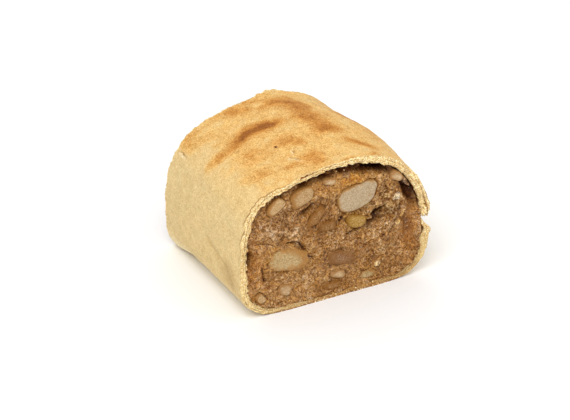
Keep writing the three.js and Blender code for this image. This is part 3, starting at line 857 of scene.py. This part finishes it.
def crust_marks(place, y, height, outer):
    """What the crust's finish reads on its points; the first `outer` points are the skin."""
    spot, signed = pair(place, y), gap(place, 0)
    toast = np.full(len(place), 0.15)
    on_top = smooth(np.abs(gap(place[:outer], -2)), 44, 34)
    toast[:outer] = np.maximum(toasting(place[:outer], y[:outer]), 0.12 * on_top)
    near_cut = LENGTH / 2 - np.abs(y)
    toast = toast * np.maximum(smooth(near_cut + 0.5 * value_noise(spot, 1.4, 41), 0.2, 1.8), 0.8 * (y > 0))
    pore = np.zeros(len(place))
    for s, y0, wide in PORES:
        close = bell(np.hypot(gap(place, s), y - y0) / (wide * 0.7))
        pore = np.maximum(pore, close * min(1, (wide / 0.8) ** 1.5))
    # Pale splits in the skin, and a band of painted light along the left wall's downturned foot.
    split = split_at(place, y, 0.2) + 0.9 * bell(gap(place, -76.5) / 3.5)
    # Painted shade: a patch at the end of the left wall's fold, and a line along the fold.
    s, y0, reach, run = SHADE_PATCH
    dull = bell((signed - s) / reach) * bell((y - y0) / run) * (1 + 0.5 * fractal(spot, 3, 69, 3))
    dull = np.clip(0.85 * dull + 0.4 * fold_at(place, y, 1.1), 0, 1)
    for mark in (pore, split, dull):
        mark[outer:] = 0
    off_crown = np.abs(gap(place, -6)) + 5 * value_noise(spot, 4, 43)
    return {
        "toast": toast, "pore": pore, "split": split, "dull": dull,
        "soaked": smooth(off_crown - 6 * smooth(place, 60, 90), 70, 96),
        "sleek": sleek_at(place) * (y < 0),
        "foot": smooth(height + 0.5 * value_noise(spot, 2.4, 37), 1.3, 0.2)}


def build_pastry(sizes, material):
    """The sleeve in closed rings: its skin, the other cut's rim, the inner wall and the main cut's rim."""
    count, rows = sizes.round_steps, sizes.length_rows
    places = np.arange(count) / count * ROUND
    swells = tuple(SWELLS + TORN_EDGES)
    pts, marks = [], {"rim": [], "groove": [], "inside": []}

    def add(points, **values):
        pts.append(points)
        for key, kept in marks.items():
            kept.append(values.get(key, 0) + 0 * places)

    def add_rim(end, shares):
        off_crown = np.abs(gap(places, -2))
        for t in shares:
            y, groove = rim_y(places, t, end)
            wave = 0.10 * value_noise(pair(places, t * 5), 0.7, 95)
            # Painted shade over the rim's inner share, deeper towards the foot.
            shade = smooth(t, 0.8, 1.0) * 0.25 + 0.34 * smooth(t, 0.4, 0.9) * smooth(off_crown, 66, 80)
            add(under(t * dough(places) + wave, places, y, swells), rim=1, groove=groove * 0.9, inside=shade)

    front, _ = rim_y(places, 0.0, -1)
    back, _ = rim_y(places, 0.0, 1)
    _, z, ox, oz = section_at(places)
    for row in cut_steps(rows):
        y = front * (1 - row) + back * row
        p = under(0, places, y, swells)
        out, leaf_edge, leaf_shadow = skin_row(places, y, front, back, sizes.blister)
        out = out * smooth(z, 0.4, 4)
        p[:, 0] += ox * out
        p[:, 2] = np.where(p[:, 2] > 0.02, np.maximum(0, p[:, 2] + oz * out), 0)
        edge = np.minimum(y - front, back - y)
        add(p, rim=np.maximum(1 - smooth(edge, 0.1, 0.55), 0.8 * leaf_edge), groove=0.8 * leaf_shadow)

    shares = (np.arange(RIM_RINGS) + 1) / (RIM_RINGS + 1)
    add_rim(1, shares)
    front, _ = rim_y(places, 1.0, -1)
    back, _ = rim_y(places, 1.0, 1)
    teeth = bell(gap(places, 0) / 24) * smooth(value_noise(pair(places, -1), 1.4, 93), 0.1, 0.9)
    for row in cut_steps(INNER_ROWS, 0.9)[::-1]:
        y = front * (1 - row) + back * row
        edge = np.minimum(y - front, back - y)
        wave = 0.15 * value_noise(pair(places, y), 1.2, 91) - 0.7 * teeth * bell(edge / 1.5)
        # The inner wall carries painted shade all along, except at its cut edges.
        add(under(dough(places) + wave, places, y, swells), rim=1 - smooth(edge, 0.1, 0.5),
            inside=smooth(edge, 0.0, 0.8))
    add_rim(-1, shares[::-1])

    points = np.vstack(pts)
    place, y, outer = np.tile(places, len(pts)), points[:, 1], count * rows
    values = {key: np.concatenate(kept) for key, kept in marks.items()}
    values["groove"][:outer] += 0.45 * split_at(place, y, -0.45)[:outer]
    values.update(crust_marks(place, y, points[:, 2], outer))
    return make_object("strudel_pastry", points, ring_faces(len(pts), count, True), material, values)


# ---- Filling ----

def die_outline(angle, nth):
    """How far a die's outline swells in each direction."""
    return 1 + 0.06 * np.sin(2 * angle + nth) + 0.05 * np.sin(3 * angle + 2.1 * nth)


def die_reach(x, z, die, nth):
    """Distance from a die's middle as a share of its outline: under 1 inside it."""
    cx, cz, long, short, tilt = die[:5]
    u, v = turned(x, z, cx, cz, tilt)
    u, v = u / (long / 2), v / (short / 2)
    return (np.abs(u) ** 3 + np.abs(v) ** 3) ** (1 / 3) / die_outline(np.arctan2(v, u), nth)


def stains_at(spot, side):
    """The tint of the pulp and how smooth it is, the stains' edges drawn out by noise."""
    tints = np.ones((*spot.shape[:-1], 3))
    x = side + 2.2 * fractal(spot, 6, 521, 4)
    z = spot[..., 1] + 2.2 * fractal(spot, 6, 527, 4)
    calm = np.zeros(spot.shape[:-1])
    for sx, sz, wide, high, tint, strength, smoothness in STAINS:
        share = np.exp(-(np.abs((x - sx) / wide) ** 2.5 + np.abs((z - sz) / high) ** 2.5))
        tint_share = (strength * share)[..., None]
        tints = tints * (1 - tint_share) + tints * np.array(tint) * tint_share
        calm = np.maximum(calm, smoothness * share)
    return tints, calm


def holes_at(side, z, drift, wander):
    """Depth of the hollows and of the slits in a cut, their outlines moved by the drift."""
    holes, slits = 0, 0
    for hx, hz, long, short, tilt, depth in HOLLOWS:
        u, v = turned(side + 1.2 * drift[0], z + 1.2 * drift[1], hx, hz, tilt)
        holes = holes + depth * bell(u / long) * bell(v / short)
    for points, wide, depth in CREVICES:
        away = line_distance(side + 0.7 * drift[0], z + 0.7 * drift[1], points)
        slits = np.maximum(slits, depth * bell(away / (wide * (1 + 0.6 * wander))))
    return holes, slits


def lumps_at(x, z, end):
    """The filling's low lumps, as in its solid."""
    calm = np.minimum(1, np.hypot(x - HEART[0], z - HEART[1]) / 12)
    return LUMP * calm * (np.sin(0.61 * x + 0.35 * z + end) * np.sin(0.52 * z - 0.21 * x)
                          + 0.7 * np.sin(0.93 * x - 0.47 * z) * np.sin(0.37 * x + 0.88 * z + 2 * end))


def pulp_at(flat, side, drift, calm, seed):
    """The pulp's relief, its tone from 0 (syrup) to 1 (the palest crumbs) and its finest noise."""
    spot = flat + 1.2 * np.stack(drift, -1)
    x, z, wide, high = CRAGGY
    craggy = bell(np.hypot((side - x) / wide, (flat[..., 1] - z) / high))
    loose = smooth(fractal(flat, 9, seed + 22, 3), -0.35, 0.35) * (1 - 0.85 * calm)
    rough = 1 - 0.6 * calm
    f1, f2 = value_noise(spot, 5.2, seed + 10), value_noise(spot, 2.7, seed + 12)
    f3, f4 = value_noise(spot, 1.5, seed + 14), value_noise(flat, 0.8, seed + 16)
    cracked = smooth(fractal(flat, 7, seed + 18, 2), 0.0, 0.4) * loose
    crease = (1 - smooth(np.abs(f2 + 0.45 * f3), 0.02, 0.2)) * cracked
    near, number = cells(flat, 1.5, seed + 26)
    speck = smooth(near, 0.36, 0.16) * rough
    rough = rough + 0.8 * craggy
    loose = np.clip(loose + 0.7 * craggy, 0, 1.3)
    relief = (0.34 * f1 + (0.14 + 0.26 * loose) * f2 + (0.10 + 0.20 * loose) * f3 + 0.14 * rough * f4
              - 0.45 * crease + 0.25 * speck * (number > 0.9))
    tone = (0.5 + 0.10 * f1 + (0.07 + 0.08 * loose) * f2 + (0.08 + 0.10 * loose) * f3 + 0.20 * rough * f4
            - 0.38 * crease + speck * (0.42 * (number > 0.9) - 0.25 * (number < 0.06)))
    return relief, tone, f4


def set_dice(depth, tone, relief, flat, dice, seed):
    """Recesses the pulp behind each die, with a crisp or a soft, soaked edge, and lists what is soaked."""
    soaked = []
    for nth, die in enumerate(dice):
        _, rimmed, crisp, _, _ = FLESH[die[6]]
        reach = die_reach(flat[..., 0], flat[..., 1], die, nth)
        away = (reach - 1) * die[3] / 2
        lap = 0.985 - (1 - crisp) * (0.08 + 0.7 * fractal(flat, 2.2, seed + 40 + nth, 4))
        flush = (1 - crisp) * bell(away / 1.6)
        depth = depth * (1 - 0.6 * flush) + (APPLE_BACK + 0.45 - 0.6 * relief) * 0.6 * flush
        depth = depth + crisp * 0.5 * bell(away / 0.4)
        # Painted shade in the narrow groove round a crisp die.
        tone = tone - crisp * 0.30 * bell(away / 0.35) + 0.05 * flush
        face = APPLE_BACK + (0.30 + 0.45 * (1 - crisp)) * (np.minimum(reach, 1) / 0.94) ** 7
        depth = np.where(reach < lap, np.maximum(depth, face + 0.2 + 1.2 * crisp), depth)
        soaked.append(((1 - crisp) * 0.7 * bell(np.maximum(away, 0) / 1.6), np.array(srgb(*rimmed))))
    return depth, tone, soaked


def pulp_colours(tone, tints, soaked, hollow, look):
    """The pulp's colour: its tone, the stains, the juice round the soft dice and painted shade in the holes
    and slits.
    """
    middle_dark = np.add(look.pulp_dark, look.pulp) / 2
    middle_light = np.add(look.pulp, look.pulp_light) / 2
    tones = np.array([look.pulp_dark, middle_dark, look.pulp, middle_light, look.pulp_light])
    stops = [0.0, 0.25, 0.5, 0.72, 1.0]
    colours = np.stack([np.interp(tone, stops, tones[:, k]) for k in range(3)], -1) * tints
    for share, edge in soaked:
        share = share[..., None]
        colours = colours * (1 - share) + share * edge * (0.8 + 0.4 * tone[..., None])
    # Painted shade: the deeper holes and slits are darkened, the blue most.
    return colours * (1 - hollow[..., None] * np.array([0.78, 0.88, 0.95]))


def lay_scraps(depth, colours, side, flat, fine, seed):
    """Lays the pale scraps over the pulp."""
    for nth, (sx, sz, long, short, tilt, out, tint) in enumerate(SCRAPS):
        u, v = turned(side, flat[..., 1], sx, sz, tilt)
        reach = np.hypot(2 * u / long, 2 * v / short) + 0.55 * fractal(flat, 1.5, seed + 80 + nth, 3)
        share = smooth(reach, 1.15, 0.85)
        depth = depth * (1 - share) + share * (CUT_BACK + 0.9 - out + 0.2 * fine)
        share = share[..., None]
        colours = colours * (1 - share) + share * np.array(srgb(*tint)) * (1 + 0.2 * fine[..., None])
    return depth, colours


def face_form(x, z, end, dice, look):
    """The filling's cut: how far it lies back from the log's end, its holes, its colour and its calm."""
    side, seed, flat = x if end < 0 else -x, FACE_SEED[end], pair(x, z)
    drift = fractal(flat, 3.4, seed, 3), fractal(flat, 3.4, seed + 5, 3)
    holes, slits = holes_at(side, z, drift, fractal(flat, 2.0, seed + 8, 2))
    tints, calm = stains_at(flat, side)
    relief, tone, fine = pulp_at(flat, side, drift, calm, seed)
    depth = CUT_BACK + LUMP + holes + slits - lumps_at(x, z, end) - relief + 0.1
    depth, tone, soaked = set_dice(depth, tone, relief, flat, dice, seed)
    # How much painted shade the holes and slits get, from their depth.
    hollow = np.clip(smooth(holes, 0.8, 2.8) + smooth(slits, 0.25, 1.5), 0, 1)
    colours = pulp_colours(tone, tints, soaked, hollow, look)
    if end < 0:
        depth, colours = lay_scraps(depth, colours, side, flat, fine, seed)
    return np.maximum(depth, 0.35), holes, colours, calm


def filling_wall(place, y):
    """Where the filling meets the crust: snug, but for the slit under the crown near each cut."""
    slit = SHRINK["width"] * bell(gap(place, 0) / SHRINK["reach"])
    near_cut = bell((LENGTH / 2 - np.abs(y)) / SHRINK["run"])
    snug = GAP * (bell(gap(place, 0) / 30) - 0.2 * (1 - bell(gap(place, 0) / 60)))
    return under(dough(place) + snug + slit * near_cut, place, y)


def square_to_round(n):
    """A square grid mapped to a disc: ring size from 0 to 1 and turn from 0 to 1 for each of n x n points."""
    a, b = np.meshgrid(np.linspace(-1, 1, n), np.linspace(-1, 1, n))
    flat = np.abs(a) >= np.abs(b)
    size = np.where(flat, np.abs(a), np.abs(b))
    safe = np.where(size == 0, 1, size)
    eighth = math.pi / 4
    angle = np.where(flat, eighth * b / safe, math.pi / 2 - eighth * a / safe)
    angle = np.where(flat & (a < 0), math.pi - eighth * (b / safe), angle)
    angle = np.where(~flat & (b < 0), 1.5 * math.pi + eighth * (a / safe), angle)
    return size, np.mod(angle / (2 * math.pi), 1.0)


def cut_grid(n, end, inset=1.0):
    """An n x n grid over the filling's cut: x, z, place on the outline, share of the way out and faces."""
    size, turn = square_to_round(n)
    place = -turn * ROUND + 0.25 * ROUND
    edge = filling_wall(place, end * (LENGTH / 2 - CUT_BACK))
    x = HEART[0] + (edge[..., 0] - HEART[0]) * size * inset
    z = HEART[1] + (edge[..., 2] - HEART[1]) * size * inset
    i = np.arange(n * n).reshape(n, n)
    quads = np.stack([i[:-1, :-1], i[:-1, 1:], i[1:, 1:], i[1:, :-1]], -1).reshape(-1, 4)
    return x, z, place, size, quads if end < 0 else quads[:, ::-1]


def build_filling(sizes, look, material):
    """The filling as a closed plug: a fine grid over each cut and a plain wall between them."""
    n = sizes.face_steps
    pts, tones, calms, faces = [], [], [], []
    for _, end, dice in CUTS:
        x, z, place, size, quads = cut_grid(n, end)
        depth, _, colours, calm = face_form(x, z, end, dice, look)
        open_rim = bell(gap(place, 0) / 24) + 0.5 * bell(gap(place, 30) / 14)
        uneven = 1 + 0.9 * fractal(pair(x, z), 2.6, 401, 3)
        brink = smooth(size, 0.885, 0.97) * open_rim * uneven
        foot = smooth(np.abs(gap(place, 0)), 72, 90) * smooth(size, 0.86, 0.97)
        depth = np.maximum(0.35, depth * (1 - 0.6 * foot) + 3.2 * np.maximum(brink, 0))
        shaded = np.clip(1.3 * brink, 0, 1)[..., None] * np.array([0.76, 0.88, 0.95])
        faces.append(quads + len(pts) * n * n)
        pts.append(np.stack([x, end * (LENGTH / 2 - depth), z], -1).reshape(-1, 3))
        tones.append((colours * (1 - shaded)).reshape(-1, 3))
        calms.append(calm.ravel())
    idx = np.arange(n * n).reshape(n, n)
    border = np.concatenate([idx[0, :-1], idx[:-1, -1], idx[-1, :0:-1], idx[:0:-1, 0]])
    front, back = pts[0][border], pts[1][border]
    rows, count = WALL_ROWS, len(border)
    for row in range(1, rows):
        share = row / rows
        pts.append(filling_wall(place.ravel()[border], front[:, 1] * (1 - share) + back[:, 1] * share))
    between = 2 * n * n + np.arange((rows - 1) * count).reshape(rows - 1, count)
    wall = np.vstack([border, between, n * n + border])
    nxt = np.roll(np.arange(count), -1)
    for r in range(rows):
        faces.append(np.stack([wall[r], wall[r + 1], wall[r + 1][nxt], wall[r][nxt]], -1))
    tones.append(np.tile(look.pulp_dark, (between.size, 1)))
    calms.append(np.full(between.size, 0.6))
    return make_object("strudel_filling", np.vstack(pts), np.vstack(faces), material,
                       {"calm": np.concatenate(calms)}, {"pulp": np.vstack(tones)})


# ---- Apple ----

def build_die(name, die, end, nth, material):
    """One apple die in rings: its cut face from the middle out, its rounded edge and its sides."""
    cx, cz, long, short, tilt, deep, flesh = die
    colour, rimmed, crisp, fade, lean = FLESH[flesh]
    sunk = 0.30 + 0.45 * (1 - crisp)
    # Rings: depth, size and mark, which is 0 at the face's middle, 0.8 at its edge and over 1 on the sides.
    rings = [(0.0, s * 0.94, s * 0.8) for s in np.linspace(0, 1, 15)[1:] ** 0.85]
    rings += [(0.10, 0.965, 0.86), (0.28, 0.985, 0.92), (0.6, 1.0, 1.0), (1.1, 1.0, 1.1)]
    rings += [(deep * t, s, 1.3) for t, s in DIE_PROFILE if deep * t > 1.4]
    angle = -2 * math.pi * np.arange(DIE_SIDES) / DIE_SIDES
    roundness = (np.abs(np.cos(angle)) ** 3 + np.abs(np.sin(angle)) ** 3) ** (-1 / 3)
    around = pair(long / 2 * np.cos(angle), short / 2 * np.sin(angle))
    uneven = die_outline(angle, nth)
    a = math.radians(tilt)
    pts, edge = [], []
    for inward, size, mark in rings:
        rough = 1 + 0.16 * (1 - crisp) * fractal(around, 2.2, 600 + nth, 4) * smooth(mark, 0.2, 0.8)
        u = long / 2 * size * uneven * roundness * np.cos(angle) * rough
        v = short / 2 * size * uneven * roundness * np.sin(angle) * rough
        x = cx + u * math.cos(a) - v * math.sin(a)
        z = cz + u * math.sin(a) + v * math.cos(a)
        spot = pair(x, z)
        dome = sunk * (mark / 0.8) ** 7 if inward == 0 else sunk + inward
        bumps = 0.10 * fractal(spot, 2.4, 610 + nth, 3) + 0.05 * value_noise(spot, 0.6, 620 + nth)
        bumps = bumps * (inward < 1)
        pts.append(np.stack([x, end * (LENGTH / 2 - APPLE_BACK - dome + bumps + 0.1), z], -1))
        edge.append(mark + lean * (x - cx) / (long / 2) * smooth(mark, 0, 0.5))
    points = np.vstack([*pts, pts[0].mean(0)[None], pts[-1].mean(0)[None]])
    faces = ring_faces(len(pts), DIE_SIDES, False).tolist()
    first, last, base = len(points) - 2, len(points) - 1, (len(pts) - 1) * DIE_SIDES
    faces += [(first, (i + 1) % DIE_SIDES, i) for i in range(DIE_SIDES)]
    faces += [(last, base + i, base + (i + 1) % DIE_SIDES) for i in range(DIE_SIDES)]
    if end > 0:
        faces = [tuple(reversed(f)) for f in faces]
    core, skin = np.array(srgb(*colour)), np.array(srgb(*rimmed))
    shade = 1 + 0.06 * math.sin(3.7 * nth)
    values = {"edge": np.concatenate([*edge, [0.0], [1.3]]), "fade": np.full(len(points), fade)}
    return make_object(name, points, faces, material, values, {
        "flesh": np.tile(core * shade, (len(points), 1)), "rimmed": np.tile(skin * shade, (len(points), 1))})


# ---- Crumbs by Geometry Nodes ----

def crumb_tree(name, seed):
    """Scatters small uneven lumps over the points of a mesh, with named inputs for their number and size."""
    tree = bpy.data.node_groups.new(name, "GeometryNodeTree")
    face = tree.interface
    face.new_socket("Geometry", in_out="INPUT", socket_type="NodeSocketGeometry")
    for label, default in (("Density", 100.0), ("Smallest", 0.0003), ("Largest", 0.0009), ("Flatness", 0.8)):
        face.new_socket(label, in_out="INPUT", socket_type="NodeSocketFloat").default_value = default
    face.new_socket("Material", in_out="INPUT", socket_type="NodeSocketMaterial")
    face.new_socket("Geometry", in_out="OUTPUT", socket_type="NodeSocketGeometry")

    def add(kind, inputs=None, **settings):
        n = tree.nodes.new(kind)
        for key, value in settings.items():
            setattr(n, key, value)
        for key, value in (inputs or {}).items():
            if hasattr(value, "is_output"):
                tree.links.new(value, n.inputs[key])
            else:
                n.inputs[key].default_value = value
        return n

    start = add("NodeGroupInput").outputs
    chance = add("GeometryNodeInputNamedAttribute", {"Name": "crumbs"},
                 data_type="FLOAT").outputs["Attribute"]
    density = add("ShaderNodeMath", {0: start["Density"], 1: chance}, operation="MULTIPLY").outputs[0]
    scatter = add("GeometryNodeDistributePointsOnFaces", {
        "Mesh": start["Geometry"], "Density": density, "Seed": seed}, distribute_method="RANDOM")
    lump = add("GeometryNodeMeshIcoSphere", {"Radius": 0.5, "Subdivisions": 2}).outputs["Mesh"]
    wobble = add("ShaderNodeTexNoise", {"Scale": 2.3, "Detail": 1.0}).outputs["Color"]
    offset = add("ShaderNodeVectorMath", {0: wobble, 1: (0.5, 0.5, 0.5)}, operation="SUBTRACT").outputs[0]
    offset = add("ShaderNodeVectorMath", {0: offset, "Scale": 0.9}, operation="SCALE").outputs[0]
    lump = add("GeometryNodeSetPosition", {"Geometry": lump, "Offset": offset}).outputs[0]
    spin = add("FunctionNodeRandomValue", {0: (0, 0, 0), 1: (6.28, 6.28, 6.28), "Seed": seed + 1},
               data_type="FLOAT_VECTOR").outputs[0]
    wide = add("FunctionNodeRandomValue", {2: start["Smallest"], 3: start["Largest"], "Seed": seed + 2},
               data_type="FLOAT").outputs[1]
    flat = add("ShaderNodeMath", {0: wide, 1: start["Flatness"]}, operation="MULTIPLY").outputs[0]
    scale = add("ShaderNodeCombineXYZ", {0: wide, 1: wide, 2: flat}).outputs[0]
    placed = add("GeometryNodeInstanceOnPoints", {
        "Points": scatter.outputs["Points"], "Instance": lump, "Rotation": spin, "Scale": scale}).outputs[0]
    shade = add("FunctionNodeRandomValue", {2: 0.0, 3: 1.0, "Seed": seed + 3}, data_type="FLOAT").outputs[1]
    marked = add("GeometryNodeStoreNamedAttribute", {"Geometry": placed, "Name": "shade", "Value": shade},
                 data_type="FLOAT", domain="INSTANCE").outputs[0]
    real = add("GeometryNodeRealizeInstances", {"Geometry": marked}).outputs[0]
    dressed = add("GeometryNodeSetMaterial", {"Geometry": real, "Material": start["Material"]}).outputs[0]
    add("NodeGroupOutput", {"Geometry": dressed})
    return tree


def scatter_crumbs(name, host_points, host_faces, chance, material, seed, **inputs):
    """Crumbs over a patch of surface as a plain mesh of their own."""
    host = make_object(name + "_host", host_points, host_faces, material, {"crumbs": chance})
    tree = crumb_tree(name + "_tree", seed)
    modifier = host.modifiers.new("crumbs", "NODES")
    modifier.node_group = tree
    keys = {s.name: s.identifier for s in tree.interface.items_tree if s.in_out == "INPUT"}
    for label, value in {**inputs, "Material": material}.items():
        modifier[keys[label]] = value
    bpy.context.view_layer.update()
    mesh = bpy.data.meshes.new_from_object(host.evaluated_get(bpy.context.evaluated_depsgraph_get()))
    bpy.data.objects.remove(host)
    mesh.name = name
    obj = bpy.data.objects.new(name, mesh)
    bpy.context.scene.collection.objects.link(obj)
    return obj


def cut_patch(end, dice, look):
    """The filling's cut as a coarse patch, and how likely a crumb is on each point."""
    x, z, _, _, quads = cut_grid(PATCH_STEPS, end, 0.985)
    depth, holes, _, calm = face_form(x, z, end, dice, look)
    chance = smooth(fractal(pair(x, z), 6, 701 + end, 3), -0.2, 0.35) * smooth(holes, 2.2, 0.8) * (1 - calm)
    for nth, die in enumerate(dice):
        chance = chance * smooth(die_reach(x, z, die, nth), 1.0, 1.12)
    points = np.stack([x, end * (LENGTH / 2 - depth - 0.1), z], -1).reshape(-1, 3)
    return points, quads, chance.ravel()


def rim_patch(end):
    """A strip over the cut dough, and how likely a flake is on each point: most of all at its two edges."""
    places = np.arange(STRIP_STEPS) / STRIP_STEPS * ROUND
    pts, chance = [], []
    for across in np.arange(STRIP_ROWS) / (STRIP_ROWS - 1):
        y, _ = rim_y(places, across, end)
        pts.append(under(across * dough(places) + 0.02, places, y, tuple(SWELLS + TORN_EDGES)))
        edges = 0.25 + bell(across / 0.2) + bell((1 - across) / 0.2)
        chance.append(edges * smooth(value_noise(pair(places, across * 2), 7, 811), -0.5, 0.6))
    faces = ring_faces(STRIP_ROWS, STRIP_STEPS, False)
    return np.vstack(pts), faces if end > 0 else faces[:, ::-1], np.concatenate(chance)


# ---- Stage ----

def build_stage():
    """The pale floor, the camera, three soft lamps and an even room."""
    scene = bpy.context.scene
    corners = [(x * FLOOR_REACH, y * FLOOR_REACH, 0) for x, y in ((-1, -1), (1, -1), (1, 1), (-1, 1))]
    floor = make_object("pale_floor", corners, [(0, 1, 2, 3)], floor_finish(), smooth_shade=False)
    az, el = math.radians(AZIMUTH), math.radians(ELEVATION)
    back = Vector((math.sin(az) * math.cos(el), -math.cos(az) * math.cos(el), math.sin(el)))
    camera = bpy.data.cameras.new("camera")
    camera.lens = LENS
    camera.sensor_width = 36
    camera.clip_start = 0.01
    holder = bpy.data.objects.new("camera", camera)
    holder.location = (Vector(AIM) + back * DISTANCE) * MM
    holder.rotation_euler = back.to_track_quat("Z", "Y").to_euler()
    scene.collection.objects.link(holder)
    scene.camera = holder
    for name, place, side, watts in LAMPS:
        light = bpy.data.lights.new(name, "AREA")
        light.shape = "SQUARE"
        light.size = side * MM
        light.energy = watts
        lamp = bpy.data.objects.new(name, light)
        lamp.location = Vector(place) * MM
        lamp.rotation_euler = Vector(place).to_track_quat("Z", "Y").to_euler()
        scene.collection.objects.link(lamp)
    world = bpy.data.worlds.new("soft_room")
    world.use_nodes = True
    room = world.node_tree.nodes["Background"].inputs
    room["Color"].default_value = (1, 1, 1, 1)
    room["Strength"].default_value = ROOM_LIGHT
    scene.world = world
    scene.view_settings.view_transform = "Standard"
    scene.view_settings.look = "None"


# ---- The add-on ----

def settle(piece, node=None):
    """Rides a finished piece on the portion's one body, in place of its solid."""
    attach(piece, "root")
    if node:
        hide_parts(node)


def colour(name, what, value):
    """A colour property whose default is given as it looks on the lit portion."""
    return bpy.props.FloatVectorProperty(name=name, description=what, subtype="COLOR", size=3, min=0, max=1,
                                         default=srgb(*value))


class StrudelLook(bpy.types.PropertyGroup):
    """Colours of the baked portion."""
    pale_dough: colour("Pale dough", "Dough on the walls, hardly browned", (226, 200, 144))
    golden_dough: colour("Golden dough", "Dough over the top", (234, 188, 114))
    dark_dough: colour("Dark dough", "Where the oven has browned the crust most", (158, 94, 30))
    pulp: colour("Pulp", "The filling's cooked pulp", (166, 121, 70))
    pulp_dark: colour("Dark pulp", "Syrup between the crumbs", (112, 62, 16))
    pulp_light: colour("Light pulp", "The palest crumbs", (210, 176, 134))
    apple_light: colour("Apple grain", "Light grain in the apple's cut face", (216, 196, 164))


class StrudelSizes(bpy.types.PropertyGroup):
    """Sizes of the surface detail and of its meshes."""
    round_steps: bpy.props.IntProperty(name="Steps round", description="Points round the crust",
                                       default=480, min=96)
    length_rows: bpy.props.IntProperty(name="Rows", description="Rows along the crust", default=122, min=24)
    face_steps: bpy.props.IntProperty(name="Cut steps", description="Points across each cut",
                                      default=214, min=48)
    blister: bpy.props.FloatProperty(name="Blisters", description="Height of the crust's low waves, in mm",
                                     default=0.28, min=0, max=2)
    crumb_density: bpy.props.FloatProperty(name="Crumbs", description="Crumbs for each square metre of a cut",
                                           default=260000, min=0)
    flake_density: bpy.props.FloatProperty(name="Flakes", default=900000, min=0,
                                           description="Flakes for each square metre of cut dough")


class STRUDEL_OT_stage(bpy.types.Operator):
    """Lay the pale floor and set the camera and the soft lights"""
    bl_idname = "strudel.stage"
    bl_label = "Stage"

    def execute(self, context):
        build_stage()
        return {"FINISHED"}


class STRUDEL_OT_pastry(bpy.types.Operator):
    """Build the pastry sleeve with its leaves, tear and browning"""
    bl_idname = "strudel.pastry"
    bl_label = "Pastry"

    def execute(self, context):
        scene = context.scene
        crust = build_pastry(scene.strudel_sizes, pastry_finish(scene.strudel_look))
        settle(crust, "pastry")
        return {"FINISHED"}


class STRUDEL_OT_filling(bpy.types.Operator):
    """Build the filling that runs through the sleeve, with both craggy cuts"""
    bl_idname = "strudel.filling"
    bl_label = "Filling"

    def execute(self, context):
        scene = context.scene
        plug = build_filling(scene.strudel_sizes, scene.strudel_look, filling_finish())
        settle(plug, "filling")
        return {"FINISHED"}


class STRUDEL_OT_apple(bpy.types.Operator):
    """Build the apple dice in both cuts"""
    bl_idname = "strudel.apple"
    bl_label = "Apple dice"

    def execute(self, context):
        material = apple_finish(context.scene.strudel_look)
        for cut, end, dice in CUTS:
            for i, die in enumerate(dice):
                piece = build_die(f"strudel_apple_{cut}_{i + 1}", die, end, i, material)
                settle(piece, f"apple_{cut}_{i + 1}")
        return {"FINISHED"}


class STRUDEL_OT_crumbs(bpy.types.Operator):
    """Scatter loose crumbs over both cuts"""
    bl_idname = "strudel.crumbs"
    bl_label = "Crumbs"

    def execute(self, context):
        scene = context.scene
        material = crumb_finish(scene.strudel_look)
        for cut, end, dice in CUTS:
            points, faces, chance = cut_patch(end, dice, scene.strudel_look)
            piece = scatter_crumbs(f"strudel_crumbs_{cut}", points, faces, chance, material, 7 + end,
                                   Density=scene.strudel_sizes.crumb_density, Smallest=0.35 * MM,
                                   Largest=1.0 * MM, Flatness=0.8)
            settle(piece)
        return {"FINISHED"}


class STRUDEL_OT_flakes(bpy.types.Operator):
    """Scatter small dry flakes over the cut dough of both rims"""
    bl_idname = "strudel.flakes"
    bl_label = "Flakes"

    def execute(self, context):
        scene = context.scene
        material = flake_finish(scene.strudel_look)
        for cut, end, _ in CUTS:
            points, faces, chance = rim_patch(end)
            piece = scatter_crumbs(f"strudel_flakes_{cut}", points, faces, chance, material, 17 + end,
                                   Density=scene.strudel_sizes.flake_density, Smallest=0.3 * MM,
                                   Largest=1.0 * MM, Flatness=0.35)
            settle(piece)
        return {"FINISHED"}


class STRUDEL_PT_panel(bpy.types.Panel):
    """Lists the portion's pieces and finishes"""
    bl_label = "Apple strudel"
    bl_idname = "STRUDEL_PT_panel"
    bl_space_type = "VIEW_3D"
    bl_region_type = "UI"
    bl_category = "Strudel"

    def draw(self, context):
        for step in BUILD_STEPS:
            self.layout.operator(step.bl_idname)
        for group in (context.scene.strudel_look, context.scene.strudel_sizes):
            for key in group.__annotations__:
                self.layout.prop(group, key)


BUILD_STEPS = (STRUDEL_OT_stage, STRUDEL_OT_pastry, STRUDEL_OT_filling, STRUDEL_OT_apple, STRUDEL_OT_crumbs,
               STRUDEL_OT_flakes)
CLASSES = (StrudelLook, StrudelSizes, *BUILD_STEPS, STRUDEL_PT_panel)


def register():
    for cls in CLASSES:
        bpy.utils.register_class(cls)
    bpy.types.Scene.strudel_look = bpy.props.PointerProperty(type=StrudelLook)
    bpy.types.Scene.strudel_sizes = bpy.props.PointerProperty(type=StrudelSizes)


def unregister():
    del bpy.types.Scene.strudel_sizes
    del bpy.types.Scene.strudel_look
    for cls in reversed(CLASSES):
        bpy.utils.unregister_class(cls)


def main():
    """Builds the portion in order."""
    register()
    bpy.ops.strudel.stage()
    bpy.ops.strudel.pastry()
    bpy.ops.strudel.filling()
    bpy.ops.strudel.apple()
    bpy.ops.strudel.crumbs()
    bpy.ops.strudel.flakes()


if __name__ == "__main__":
    main()
